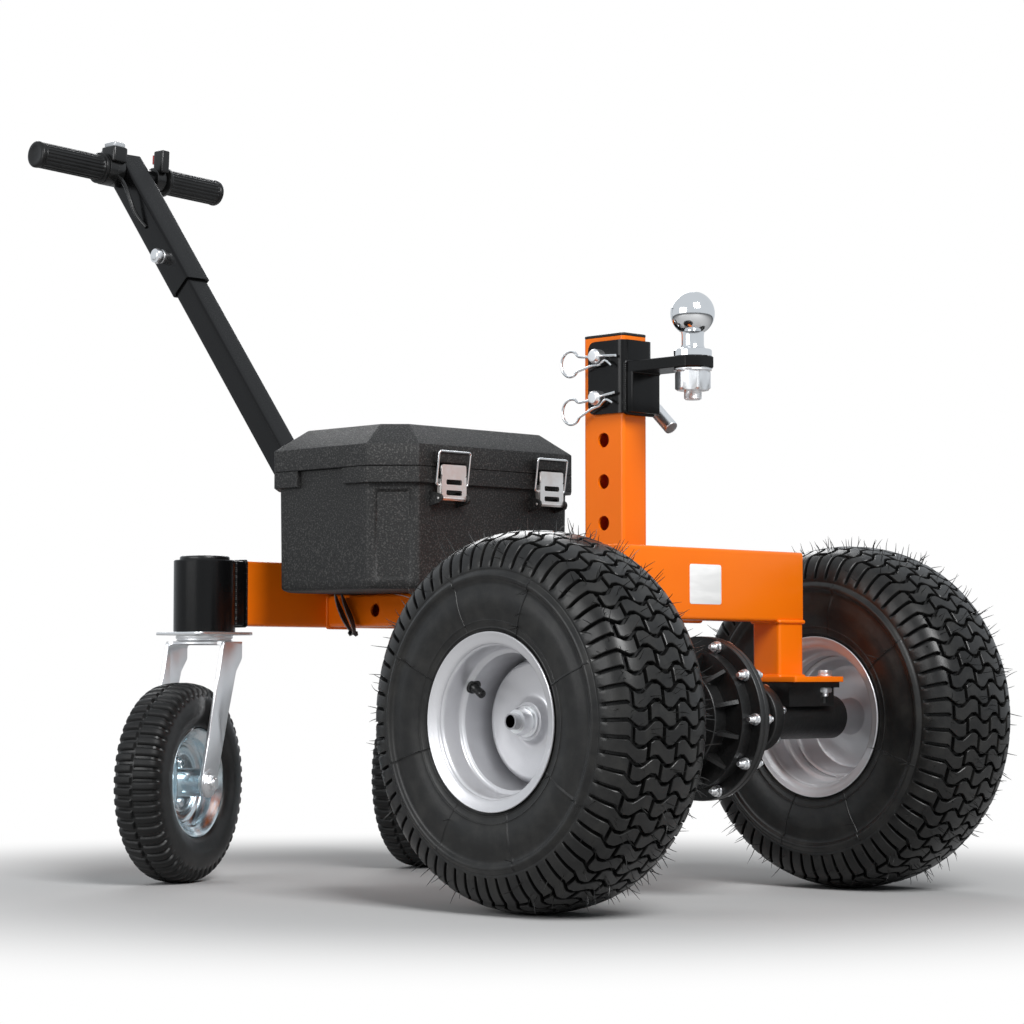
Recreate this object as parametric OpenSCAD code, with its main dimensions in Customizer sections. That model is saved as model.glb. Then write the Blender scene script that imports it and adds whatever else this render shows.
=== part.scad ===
// Walk-behind electric tug: a steel cross frame on two driven turf wheels and
// two swivel casters, with a battery box, a height-set ball hitch and a T-handle.
// Millimetres. +X points to the hitch ball, +Y to the left, +Z up. The origin is
// on the floor below the middle of the drive axle.

/* [Drive wheels] */
// Outer diameter of a drive tyre
tyre_od = 381; // [370:1:395]
// Width of a drive tyre
tyre_w = 138; // [132:1:146]
// Distance between the middles of the two drive tyres
track = 500; // [494:1:520]
// Bead seat diameter of the drive rim
rim_bead_d = 152.4; // [148:0.2:156]
// Diameter over the flanges of the drive rim
rim_flange_d = 177.2; // [172:0.2:180]
// Half of the drive rim's overall width
rim_half = 63; // [58:1:64]
// Sheet thickness of the drive rim
rim_t = 3; // [2:0.5:4]
// Thickness of a drive tyre's wall
tyre_wall = 8; // [6:0.5:10]

/* [Frame] */
// Width of a crossbeam along the tug
beam_w = 38; // [36:1:42]
// Height of a crossbeam
beam_h = 76; // [70:1:82]
// Length of a crossbeam across the tug
beam_len = 290; // [284:1:300]
// Wall thickness of the frame tubes
beam_wall = 3; // [2:0.5:4]
// Side of the square spine tube
spine_side = 38; // [36:1:40]
// Distance from the drive axle to the caster swivels
wheelbase = 605; // [600:1:640]
// Distance between the two caster swivels
swivel_span = 384; // [382:1:400]
// Height of a leg between the front beam and its plate
leg_len = 59.5; // [55:0.5:65]
// Width of a leg across the tug
leg_d = 41; // [36:1:44]
// Length and width of a leg's foot plate
plate_l = 90; // [84:1:96]
// Thickness of a leg's foot plate
plate_t = 6; // [5:0.5:8]

/* [Hitch] */
// Length of the hitch post's section along the tug
post_l = 60; // [58:1:64]
// Width of the hitch post's section across the tug
post_w = 38; // [36:1:40]
// Height of the hitch post above the spine
post_h = 273.5; // [270:0.5:290]
// Distance from the drive axle to the post's middle
post_back = 126; // [122:1:130]
// Spacing of the post's pin holes
hole_pitch = 45.5; // [44:0.5:47]
// Diameter of a pin hole
pin_hole_d = 16.4; // [16.2:0.1:17]
// Diameter of a hitch pin
pin_d = 15.9; // [15:0.1:16]
// Diameter of the hitch ball
ball_d = 47.6; // [47:0.1:50.8]
// Distance from the drive axle back to the ball's middle
ball_back = 12; // [8:1:16]
// Width of the ball bar
bar_w = 44; // [42:1:48]
// Thickness of the ball bar
bar_t = 12; // [10:1:13]
// Plate thickness of the hitch channel
channel_t = 5; // [4:0.5:6]
// Height of the hitch channel
channel_h = 80; // [76:1:84]

/* [Drive unit] */
// Outer radius of the axle housing tubes
housing_r = 24; // [23.5:0.5:26]
// Height of the saddle between a housing tube and its foot plate
saddle_h = 14.5; // [12:0.5:18]
// Diameter of an axle shaft
shaft_d = 25.4; // [24:0.2:26]
// Teeth of the ring gear
ring_teeth = 52; // [52:52]
// Teeth of the motor pinion
pinion_teeth = 13; // [13:13]
// Module of the gears
gear_m = 2.5; // [2.4:0.1:2.6]
// Outer radius of the motor case
motor_r = 45; // [40:1:46]
// Length of the motor case
motor_len = 112; // [90:1:120]

/* [Casters] */
// Outer diameter of a caster tyre
caster_od = 228; // [216:1:232]
// Width of a caster tyre
caster_w = 60; // [52:1:64]
// Distance from a swivel to its wheel's middle
caster_trail = 58; // [50:1:66]
// Heading in which the casters trail at rest
caster_heading = -66; // [-180:1:180]
// Outer radius of a caster head
head_r = 36; // [34:1:38]
// Bead seat diameter of the caster rim
caster_bead_d = 101.6; // [98:0.2:104]
// Diameter over the flanges of the caster rim
caster_flange_d = 126; // [122:0.5:130]

/* [Battery box] */
// Length of the lid along the tug
box_l = 247; // [240:1:250]
// Width of the lid across the tug
box_w = 330; // [320:1:336]
// Gap between the rear beam and the back of the lid
box_gap = 29; // [27:1:33]
// Height of the box body
box_h = 137.5; // [130:0.5:145]
// Height of the lid's skirt
skirt_h = 25; // [22:1:28]
// Height of the lid's slanted crown
crown_h = 25; // [20:1:30]
// Wall thickness of the box
box_wall = 3.5; // [3:0.5:4.5]
// Corner chamfer of the lid in plan
box_chamfer = 41; // [34:1:44]
// Distance from a corner chamfer of the lid to the middle of a latch
latch_inset = 46; // [40:1:50]

/* [Handle] */
// Lean of the stem from upright, to the rear
stem_lean = 39.4; // [38:0.1:41]
// Distance along the stem from its foot to the handlebar
stem_len = 690; // [670:1:710]
// Side of the lower stem tube
stem_side = 31.75; // [30:0.25:32]
// Side of the upper stem sleeve
sleeve_side = 38.1; // [37.5:0.1:39]
// Length of the sleeve below the handlebar
sleeve_len = 216; // [205:1:225]
// Wall thickness of the stem tubes
stem_wall = 2.5; // [2:0.1:2.6]
// Diameter of the handlebar
hbar_d = 22.2; // [21:0.1:24]
// Overall length of the handlebar
hbar_len = 300; // [290:1:320]
// Turn of the handlebar about the stem
hbar_turn = 3.5; // [-5:0.5:5]
// Diameter of a grip
grip_d = 33; // [30:1:36]
// Length of the throttle grip
grip_len = 108; // [102:1:112]

/* [Hidden] */
$fn = 48;

// General clearances
over = 1;
full_turn = 360;
thin_share = 0.01;
face_gap = 0.3;
fit_gap = 0.1;
run_gap = 0.05;

// Colours
orange = [0.93, 0.36, 0.07];
black = [0.06, 0.06, 0.065];
plastic = [0.05, 0.05, 0.055];
rubber = [0.03, 0.03, 0.035];
silver = [0.66, 0.67, 0.69];
zinc = [0.75, 0.78, 0.82];
chrome = [0.85, 0.86, 0.88];
iron = [0.12, 0.12, 0.13];

// Heights that follow the axle
axle_z = tyre_od / 2;
plate_z = axle_z + housing_r + saddle_h;
beam_z = plate_z + plate_t + leg_len;
beam_top = beam_z + beam_h;
spine_top = beam_z + spine_side;
wheel_y = track / 2;
beam_end = beam_len / 2;
swivel_y = swivel_span / 2;
rear_x = -wheelbase;

// Frame details
weep_d = 8;
spine_hole_d = 16;
spine_hole_gap = 105;
plate_out = 38;
plate_in = 4;
bolt_r = 4;
bolt_head_r = 7.5;
bolt_head_h = 5.3;
bolt_len = 22;
bolt_x = 30;
bolt_y_out = 23;
bolt_y_in = 32;
post_x = -post_back;
post_top = spine_top + post_h;
cap_t = 3.5;
cap_plug_h = 14;
cap_plug_t = 3;
free_holes = 5;
used_holes = 2;
top_hole_drop = 22;
head_drop = 8;
head_z = beam_z - head_drop;
head_cap_r = 29;
head_cap_h = 5;
head_wall = 5;

// Hitch details
channel_back = 18;
channel_drop = 5;
channel_top = post_top - channel_drop;
channel_bend = 9;
channel_gap = 0.4;
web_x = post_x + post_l / 2 + channel_gap;
bar_drop = 24.5;
bar_top = channel_top - bar_drop;
bar_tip = 20;
bar_chamfer = 11;
pad_t = 11;
shank_r = 9.5;
ball_rise = 47;
ball_flange_r = 20.5;
ball_flange_h = 8;
ball_flat_r = 9;
ball_neck_r = 12;
washer_r = 20;
washer_t = 3;
nut_r = 19.5;
nut_h = 21;
shank_tail = 10;
hex_fn = 6;
pin_near = 13;
pin_far = 32;
pin_drop = 44;
pin_bend = 14;
pin_cone = 4;
clip_d = 3;
clip_knee_d = 3.6;
clip_out = 7;
clip_loop_r = 7;
clip_loop_back = 31;
clip_front = 12;

// Drive unit details
ring_pitch_r = gear_m * ring_teeth / 2;
pinion_pitch_r = gear_m * pinion_teeth / 2;
gear_gap = ring_pitch_r + pinion_pitch_r;
gear_add = 0.9;
gear_ded = 1.2;
gear_angle = 25;
gear_slack = 0.35;
flank_steps = 4;
ring_face = 18;
pinion_face = 22;
ring_bore_r = 45.1;
carrier_r = 45;
carrier_half = 34;
carrier_wall = 6;
carrier_hub_r = 20;
carrier_hub_len = 5;
carrier_flange_r = 57;
carrier_flange_t = 5;
spider_pin_r = 6;
spider_big_r = 22;
spider_small_r = 13;
spider_len = 10;
spider_root = 5;
case_wall = 4;
case_air = 3;
case_end_air = 2;
case_r = ring_pitch_r + gear_m * gear_add + case_air + case_wall;
case_half = 22;
case_drum_r = carrier_r + case_air + case_wall;
case_drum_half = 41;
case_neck_r = 34;
case_neck_step = 4;
case_bolt_sweep = 280;
nut_ratio = 1.9;
case_neck_y = 84;
case_flange_rim = 12;
case_flange_r = case_r + case_flange_rim;
case_bolt_circle = case_flange_r - case_flange_rim / 2;
case_flange_t = 7;
case_bolts = 9;
case_bolt_r = 3;
case_lobe_r = 27;
neck_flange_t = 8;
bore_r = shaft_d / 2 + run_gap;
bearing_r = 20;
bearing_w = 16;
housing_set_in = 36;
housing_end = wheel_y - housing_set_in;
housing_bore_r = 17;
saddle_l = 60;
saddle_w = 76;
motor_shaft_r = 8;
motor_wall = 4;
armature_air = 1;
magnet_t = 12;
armature_r = motor_r - magnet_t;
armature_gap = 14;
motor_y = -case_drum_half - face_gap;

// Drive wheel details
hub_r = 19;
hub_in = 31;
hub_out = 12;
disc_y = 5;
disc_r = 57;
disc_dip = 17;
thread_r = 8;
thread_len = 24;
hub_washer_r = 16;
hub_washer_t = 3;
hub_nut_r = 13.9;
hub_nut_h = 13;
tyre_crown_power = 6;
tyre_side_power = 2.5;
tyre_steps = 72;
groove_depth = 6;
groove_w = 7;
groove_shares = [-0.34, 0, 0.34];

// Caster details
cplate_side = 84;
cplate_t = 3.5;
cplate_corner = 8;
race_r = 33;
race_h = 7;
crown_t = 4;
crown_r = 37;
fork_t = 4;
fork_gap = 4;
fork_half = caster_w / 2 + fork_gap;
fork_top_w = 46;
fork_boss_r = 17;
fork_waist = 15;
crown_z = head_z - cplate_t - race_h - face_gap - crown_t;
kingpin_r = 8;
spacer_r = 8;
caster_hub_r = 16;
caster_rim_half = 24;
caster_rim_t = 2.5;
caster_crown_power = 2.5;
caster_side_power = 2.2;
caster_tyre_wall = 6;
hub_side_gap = 0.8;
spacer_step = 2;
kingpin_nut_r = 13;
kingpin_nut_h = 9;
fork_front_angle = 14;
fork_back_angle = 20;
axle_head_r = 9;
axle_head_h = 6;

// Battery box details
lid_front_x = rear_x + beam_w / 2 + box_gap + box_l;
lid_mid_x = lid_front_x - box_l / 2;
lid_z = spine_top + box_h;
latch_span = box_w - 2 * box_chamfer - 2 * latch_inset;
body_inset = 7;
taper_inset = 14;
floor_t = 4;
rim_lip_h = 18.5;
lip_recess = 39;
recess_depth = 10;
rim_lip_inset = 2;
crown_inset = 38;
hinge_r = 5;
hinge_pin_r = 2;
hinge_w = 40;
hinge_inset = 80;
hinge_span = box_w - 2 * hinge_inset;
hinge_back = 5.5;
hinge_z = lid_z + 7;
lever_w = 38;
lever_h = 38;
lever_t = 2;
lever_slot_w = 20;
lever_slot_h = 5;
lever_slot_rises = [6.5, 18.5];
flange_back = 6;
flange_h = 22;
lever_low = 36;
lever_pin_r = 1.5;
lever_out = 9;
ear_t = 3.5;
ear_h = 18;
bail_r = 1.25;
bail_knee_r = 1.45;
bail_half = 24;
bail_rise = 37.5;
bail_low = 15;
bail_set_back = 2;
keeper_w = 44;
keeper_h = 13;
keeper_low = 4;
battery_side_gap = 66;
battery_l = box_w / 2 - battery_side_gap;
battery_end_gap = 96;
battery_w = box_l - battery_end_gap;
battery_h = 95;
battery_gap = 18;
terminal_r = 4;
terminal_h = 6;
controller_l = 150;
controller_w = 70;
controller_h = 24;

hinge_web_t = 2;
hinge_root = 9;
hinge_lid_root = 1;
bail_gap = 0.3;
battery_shift = 20;
terminal_share = 0.4;
box_bolt_x = 49.5;
controller_gap = 2;

// Handle details
stem_foot_gap = 26;
stem_foot_x = rear_x + stem_foot_gap;
stem_foot_z = beam_top;
socket_side = sleeve_side;
socket_len = 62;
socket_low = 21;
tube_low = 24;
tube_top_drop = 42;
base_t = 6;
base_l = 62;
base_w = 74;
base_drop = 36;
gusset_t = 5;
sleeve_rise = 18;
sleeve_top = stem_len + sleeve_rise;
gusset_share = 0.8;
clamp_drop = 160;
clamp_r = 5;
clamp_head_r = 11;
clamp_head_h = 9;
clamp_collar_r = 9;
clamp_collar_h = 5;
set_drop = 190;
set_r = 3;
set_head_r = 4.5;
set_head_h = 4;
housing_w = 26;
housing_d = 42;
throttle_gap = 0.4;
collar_d = 41;
collar_w = 5;
end_bead = 1;
left_grip_short = 10;
cheek_inset = 1;
pod_back = -3;
pod_front = 25;
pod_low = 8;
pod_high = 28.5;
lens_inset = 2;
lens_h = 6;
switch_y = 39;
switch_w = 15;
switch_d = 31;
switch_back = 2;
switch_front = 21;
switch_low = 8;
switch_high = 38;
button_w = 9;
button_low = 21;
button_high = 33;
button_h = 4;
button_seat = 3;
cable_r = 2.6;
cable_points = [[6, -30, -17], [9, -31, -30], [9, -31, -43], [5, -29.5, -58], [0, -27, -73],
    [-2, -24, -88], [-2, -19.4, -104]];
cable_sides = 8;

module box_at(low, high) {
    translate(low) cube(high - low);
}

// A rectangular tube between two corners, open along the axis given as a unit
// vector, or with both ends closed where that vector is zero.
module tube_at(low, high, wall, open) {
    all_walls = [wall, wall, wall];
    ends = open * (wall + over);
    difference() {
        box_at(low, high);
        box_at(low + all_walls - ends, high - all_walls + ends);
    }
}

module along_y(at, length, radius) {
    translate(at) rotate([-90, 0, 0]) cylinder(h = length, r = radius);
}

// A solid of revolution about the Y axis through a point, from a profile in
// which X is the radius and Y the place along the axle.
module spun(at) {
    translate(at) rotate([-90, 0, 0]) mirror([0, 1, 0]) rotate_extrude($fn = 96) children();
}

module each_side() {
    for (side = [-1, 1]) on_side(side) children();
}

module on_side(side) {
    if (side > 0) children();
    else mirror([0, 1, 0]) children();
}

module on_stem() {
    translate([stem_foot_x, 0, stem_foot_z]) rotate([0, -stem_lean, 0]) children();
}

module on_bar() {
    on_stem() translate([0, 0, stem_len]) rotate([0, 0, hbar_turn]) children();
}

// A superellipse: one power flattens the tread, the other the sidewalls
function section(half_h, half_w, tread_power, side_power) = [
    for (i = [0 : tyre_steps - 1])
        let (t = full_turn * i / tyre_steps, c = cos(t), s = sin(t))
            [half_h * sign(c) * pow(abs(c), 2 / tread_power),
             half_w * sign(s) * pow(abs(s), 2 / side_power)]];

// An involute flank point at a radius: the angle by which it has unwound
function unwound(base_r, r) =
    let (k = sqrt(max(0, pow(r / base_r, 2) - 1))) k * 180 / PI - atan(k);

function gear_points(teeth, slack) =
    let (pitch_r = gear_m * teeth / 2, base_r = pitch_r * cos(gear_angle),
         tip_r = pitch_r + gear_add * gear_m, root_r = pitch_r - gear_ded * gear_m,
         start_r = max(base_r, root_r), steps = flank_steps,
         half = 90 / teeth - slack / pitch_r * 90 / PI + unwound(base_r, pitch_r))
    [for (n = [0 : teeth - 1]) let (mid = full_turn * n / teeth) each concat(
        [[root_r * cos(mid - half), root_r * sin(mid - half)]],
        [for (i = [0 : steps]) let (r = start_r + (tip_r - start_r) * i / steps,
            a = mid - half + unwound(base_r, r)) [r * cos(a), r * sin(a)]],
        [for (i = [steps : -1 : 0]) let (r = start_r + (tip_r - start_r) * i / steps,
            a = mid + half - unwound(base_r, r)) [r * cos(a), r * sin(a)]],
        [[root_r * cos(mid + half), root_r * sin(mid + half)]])];

module octagon(half_l, half_w, cut) {
    polygon([[-half_l + cut, -half_w], [half_l - cut, -half_w], [half_l, -half_w + cut],
        [half_l, half_w - cut], [half_l - cut, half_w], [-half_l + cut, half_w],
        [-half_l, half_w - cut], [-half_l, -half_w + cut]]);
}

// An octagonal block that tapers from its foot to its top
module octagon_block(low_z, high_z, foot, top, cut) {
    slice = thin_share * box_wall;
    hull() {
        translate([lid_mid_x, 0, low_z]) linear_extrude(slice) octagon(foot.x, foot.y, cut);
        translate([lid_mid_x, 0, high_z - slice]) linear_extrude(slice) octagon(top.x, top.y, cut);
    }
}

module front_crossbeam() {
    color(orange) difference() {
        tube_at([-beam_w / 2, -beam_end, beam_z], [beam_w / 2, beam_end, beam_top], beam_wall, [0, 0, 0]);
        translate([0, 0, beam_z - over]) cylinder(h = beam_wall + 2 * over, d = weep_d);
    }
}

module rear_crossbeam() {
    color(orange) difference() {
        tube_at([rear_x - beam_w / 2, -beam_end, beam_z], [rear_x + beam_w / 2, beam_end, beam_top],
            beam_wall, [0, 0, 0]);
        translate([rear_x, 0, beam_z - over]) cylinder(h = beam_wall + 2 * over, d = weep_d);
    }
}

module spine_tube() {
    color(orange) difference() {
        tube_at([rear_x + beam_w / 2, -spine_side / 2, beam_z], [-beam_w / 2, spine_side / 2, spine_top],
            beam_wall, [1, 0, 0]);
        along_y([rear_x + spine_hole_gap, -spine_side, beam_z + spine_side / 2], 2 * spine_side,
            spine_hole_d / 2);
        for (dx = [-box_bolt_x, box_bolt_x])
            translate([lid_mid_x + dx, 0, spine_top - beam_wall - over])
                cylinder(h = beam_wall + 2 * over, r = bolt_r + fit_gap);
    }
}

module axle_legs() {
    low_y = beam_end - leg_d;
    color(orange) each_side() difference() {
        union() {
            tube_at([-beam_w / 2, low_y, plate_z + plate_t], [beam_w / 2, beam_end, beam_z],
                beam_wall, [0, 0, 1]);
            box_at([-plate_l / 2, low_y - plate_in, plate_z],
                [plate_l / 2, beam_end + plate_out, plate_z + plate_t]);
        }
        foot_bolts() cylinder(h = plate_t + 2 * over, r = bolt_r + fit_gap);
    }
}

// The two places on a foot plate, across one diagonal, that carry a bolt
module foot_bolts() {
    translate([bolt_x, beam_end + bolt_y_out, plate_z - over]) children();
    translate([-bolt_x, beam_end - bolt_y_in, plate_z - over]) children();
}

module hex_bolt(length) {
    translate([0, 0, -length]) cylinder(h = length, r = bolt_r);
    cylinder(h = bolt_head_h, r = bolt_head_r, $fn = hex_fn);
}

module frame_bolts() {
    color(zinc) {
        each_side() foot_bolts() translate([0, 0, over + plate_t]) hex_bolt(bolt_len);
        for (dx = [-box_bolt_x, box_bolt_x])
            translate([lid_mid_x + dx, 0, spine_top + floor_t]) hex_bolt(bolt_len);
    }
}

module hitch_post() {
    color(orange) difference() {
        tube_at([post_x - post_l / 2, -post_w / 2, spine_top], [post_x + post_l / 2, post_w / 2, post_top],
            beam_wall, [0, 0, 1]);
        pin_holes(free_holes) along_y([0, -post_w, 0], 2 * post_w, pin_hole_d / 2);
    }
}

// Pin holes counted down from the post's top
module pin_holes(count) {
    for (i = [0 : count - 1])
        translate([post_x, 0, post_top - top_hole_drop - i * hole_pitch]) children();
}

module end_caps() {
    inner_l = post_l - 2 * beam_wall - 2 * fit_gap;
    inner_w = post_w - 2 * beam_wall - 2 * fit_gap;
    color(plastic) {
        box_at([post_x - post_l / 2, -post_w / 2, post_top],
            [post_x + post_l / 2, post_w / 2, post_top + cap_t]);
        tube_at([post_x - inner_l / 2, -inner_w / 2, post_top - cap_plug_h + cap_plug_t],
            [post_x + inner_l / 2, inner_w / 2, post_top], cap_plug_t, [0, 0, 1]);
        each_side() translate([rear_x, swivel_y, head_z + beam_h + head_drop])
            cylinder(h = head_cap_h, r = head_cap_r);
    }
}

module caster_heads() {
    head_h = beam_h + head_drop;
    color(black) each_side() difference() {
        union() {
            translate([rear_x, swivel_y, head_z]) cylinder(h = head_h, r = head_r);
            box_at([rear_x - beam_w / 2, beam_end, beam_z], [rear_x + beam_w / 2, swivel_y, beam_top]);
        }
        translate([rear_x, swivel_y, head_z - over])
            cylinder(h = head_h - head_wall + over, r = head_r - head_wall);
    }
}

module hitch_mount() {
    side_y = post_w / 2 + channel_gap;
    front_x = web_x + channel_t;
    low_z = channel_top - channel_h;
    tip_x = -ball_back + bar_tip;
    color(black) {
        difference() {
            union() {
                box_at([post_x - channel_back, -side_y - channel_t, low_z],
                    [front_x - channel_bend, side_y + channel_t, channel_top]);
                for (y = [-1, 1]) translate([front_x - channel_bend,
                    y * (side_y + channel_t - channel_bend), low_z])
                    cylinder(h = channel_h, r = channel_bend);
                box_at([front_x - channel_bend, -side_y - channel_t + channel_bend, low_z],
                    [front_x, side_y + channel_t - channel_bend, channel_top]);
                box_at([front_x - over, -bar_w / 2, low_z], [front_x + pad_t, bar_w / 2, bar_top - bar_t]);
                translate([0, 0, bar_top - bar_t]) linear_extrude(bar_t)
                    polygon([[front_x - over, -bar_w / 2], [tip_x - bar_chamfer, -bar_w / 2],
                        [tip_x, -bar_w / 2 + bar_chamfer], [tip_x, bar_w / 2 - bar_chamfer],
                        [tip_x - bar_chamfer, bar_w / 2], [front_x - over, bar_w / 2]]);
            }
            box_at([post_x - channel_back - over, -side_y, low_z - over],
                [web_x, side_y, channel_top + over]);
            pin_holes(used_holes) along_y([0, -post_w, 0], 2 * post_w, pin_hole_d / 2);
            translate([-ball_back, 0, bar_top - bar_t - over])
                cylinder(h = bar_t + 2 * over, r = shank_r + fit_gap);
        }
    }
}

module hitch_ball() {
    color(chrome) translate([-ball_back, 0, bar_top]) {
        rotate_extrude($fn = 96) {
            translate([0, -bar_t - washer_t - nut_h - shank_tail])
                square([shank_r, bar_t + washer_t + nut_h + shank_tail]);
            square([ball_flange_r, ball_flange_h]);
            square([ball_neck_r, ball_rise]);
        }
        difference() {
            translate([0, 0, ball_rise]) sphere(d = ball_d, $fn = 96);
            translate([0, 0, ball_rise + sqrt(pow(ball_d / 2, 2) - pow(ball_flat_r, 2))])
                cylinder(h = ball_d, r = ball_flat_r + over);
        }
    }
}

module ball_nut() {
    low = bar_top - bar_t - washer_t - nut_h;
    color(zinc) difference() {
        union() {
            translate([-ball_back, 0, low]) cylinder(h = nut_h, r = nut_r, $fn = hex_fn);
            translate([-ball_back, 0, low + nut_h]) cylinder(h = washer_t, r = washer_r);
        }
        translate([-ball_back, 0, low - over]) cylinder(h = nut_h + washer_t + 2 * over, r =
            shank_r + fit_gap);
    }
}

// A bent hitch pin: a straight shank along Y with a tapered near end, a quarter
// bend beyond the far plate, and a tail that hangs down
module hitch_pin() {
    near_y = post_w / 2 + channel_gap + channel_t + pin_near;
    far_y = post_w / 2 + channel_gap + channel_t + pin_far - pin_bend;
    difference() {
        union() {
            along_y([0, -near_y + pin_cone, 0], near_y + far_y - pin_cone, pin_d / 2);
            translate([0, -near_y, 0]) rotate([-90, 0, 0]) cylinder(h = pin_cone, r1 =
                pin_d / 2 - pin_cone / 2, r2 = pin_d / 2);
            translate([0, far_y, -pin_bend]) rotate([90, 0, 90])
                rotate_extrude(angle = 90) translate([pin_bend, 0]) circle(d = pin_d);
            translate([0, far_y + pin_bend, -pin_drop]) cylinder(h = pin_drop - pin_bend, d = pin_d);
        }
        translate([-pin_d, -near_y + clip_out, 0]) rotate([0, 90, 0])
            cylinder(h = 2 * pin_d, d = clip_d + 2 * fit_gap);
    }
}

module hitch_pins() {
    color(zinc) pin_holes(used_holes) hitch_pin();
}

// A hairpin clip: one straight leg through the pin, a loop behind it and a
// second leg that rises over the pin
module hitch_clip() {
    leg_z = pin_d / 2 + clip_d / 2 + face_gap;
    rise = leg_z - 2 * clip_loop_r;
    translate([-clip_loop_back, 0, 0]) rotate([0, 90, 0])
        cylinder(h = clip_loop_back + pin_d / 2 + clip_front, d = clip_d);
    translate([-clip_loop_back, 0, clip_loop_r]) rotate([90, 0, 0]) rotate([0, 0, 90])
        rotate_extrude(angle = 180, $fn = 96) translate([clip_loop_r, 0]) circle(d = clip_d, $fn = 48);
    translate([-clip_loop_back, 0, 2 * clip_loop_r]) sphere(d = clip_knee_d);
    translate([-clip_loop_back, 0, 2 * clip_loop_r]) rotate([0, 90 - atan2(rise, clip_loop_back), 0])
        cylinder(h = norm([rise, clip_loop_back]), d = clip_d);
}

module hitch_clips() {
    near_y = post_w / 2 + channel_gap + channel_t + pin_near;
    color(chrome) pin_holes(used_holes) translate([0, -near_y + clip_out, 0]) hitch_clip();
}

module axle_housings() {
    tube_y = case_neck_y;
    color(black) each_side() difference() {
        union() {
            along_y([0, tube_y, axle_z], housing_end - tube_y, housing_r);
            along_y([0, tube_y, axle_z], neck_flange_t, case_neck_r);
            box_at([-saddle_l / 2, beam_end + plate_out - saddle_w, axle_z + housing_r / 2],
                [saddle_l / 2, beam_end + plate_out, plate_z]);
            for (x = [-1, 1]) box_at([x * bolt_x - 2 * bolt_r, beam_end + plate_out - saddle_w,
                plate_z - plate_t],
                [x * bolt_x + 2 * bolt_r, beam_end + plate_out, plate_z]);
        }
        along_y([0, tube_y - over, axle_z], housing_end, housing_bore_r);
        along_y([0, housing_end - bearing_w, axle_z], bearing_w + over, bearing_r + fit_gap);
        translate([0, 0, -bolt_len]) foot_bolts() cylinder(h = bolt_len + 2 * over, r = bolt_r + fit_gap);
    }
}

module axle_bearings() {
    color(zinc) each_side() difference() {
        along_y([0, housing_end - bearing_w, axle_z], bearing_w, bearing_r);
        along_y([0, housing_end - bearing_w - over, axle_z], bearing_w + 2 * over, bore_r);
    }
}

// The inner room of the gearcase: the ring gear's well, the pinion's well, the
// carrier's drum and the running bores
module case_room() {
    ring_room = case_r - case_wall;
    along_y([0, -case_half + case_wall, axle_z], 2 * (case_half - case_wall), ring_room);
    along_y([-gear_gap, -case_half + case_wall, axle_z], 2 * (case_half - case_wall),
        case_lobe_r - case_wall);
    along_y([0, -carrier_half - case_end_air, axle_z], 2 * (carrier_half + case_end_air),
        case_drum_r - case_wall);
    along_y([0, -case_neck_y - over, axle_z], 2 * (case_neck_y + over), housing_bore_r);
    along_y([0, -carrier_half - case_end_air - carrier_hub_len, axle_z],
        2 * (carrier_half + case_end_air + carrier_hub_len), carrier_hub_r + run_gap);
    along_y([-gear_gap, -case_neck_y, axle_z], case_neck_y, motor_shaft_r + run_gap);
}

module gearcase_half(side, cone) {
    color(iron) difference() {
        union() {
            on_side(side) {
                along_y([0, 0, axle_z], case_flange_t, case_flange_r);
                along_y([0, 0, axle_z], case_half, case_r);
                along_y([0, 0, axle_z], case_drum_half, case_drum_r);
                along_y([0, 0, axle_z], case_neck_y, cone ? housing_r : case_neck_r - case_neck_step);
                along_y([0, case_neck_y - neck_flange_t, axle_z], neck_flange_t, case_neck_r);
                along_y([-gear_gap, 0, axle_z], cone ? case_half : case_drum_half, case_lobe_r);
                if (cone) translate([0, case_drum_half, axle_z]) rotate([-90, 0, 0])
                    cylinder(h = case_neck_y - neck_flange_t - case_drum_half, r1 = case_drum_r, r2 =
                        case_neck_r - case_neck_step);
            }
        }
        case_room();
        case_bolt_places() along_y([0, -case_half, 0], 2 * case_half, case_bolt_r + fit_gap);
    }
}

module case_bolt_places() {
    for (i = [0 : case_bolts - 1]) let (a = (i / (case_bolts - 1) - 1 / 2) * case_bolt_sweep)
        translate([case_bolt_circle * cos(a), 0, axle_z + case_bolt_circle * sin(a)]) children();
}

module right_gearcase_half() { gearcase_half(-1, false); }

module left_gearcase_half() { gearcase_half(1, true); }

module gearcase_bolts() {
    tail = case_flange_t + 2 * case_bolt_r;
    color(zinc) case_bolt_places() {
        along_y([0, -tail, 0], 2 * tail, case_bolt_r);
        for (y = [-tail, case_flange_t]) translate([0, y, 0]) rotate([-90, 0, 0])
            cylinder(h = 2 * case_bolt_r, r = nut_ratio * case_bolt_r, $fn = hex_fn);
    }
}

module ring_gear() {
    color(iron) translate([0, ring_face / 2, axle_z]) rotate([90, 0, 0])
        linear_extrude(ring_face) difference() {
        polygon(gear_points(ring_teeth, gear_slack));
        circle(r = ring_bore_r, $fn = 96);
    }
}

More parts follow.
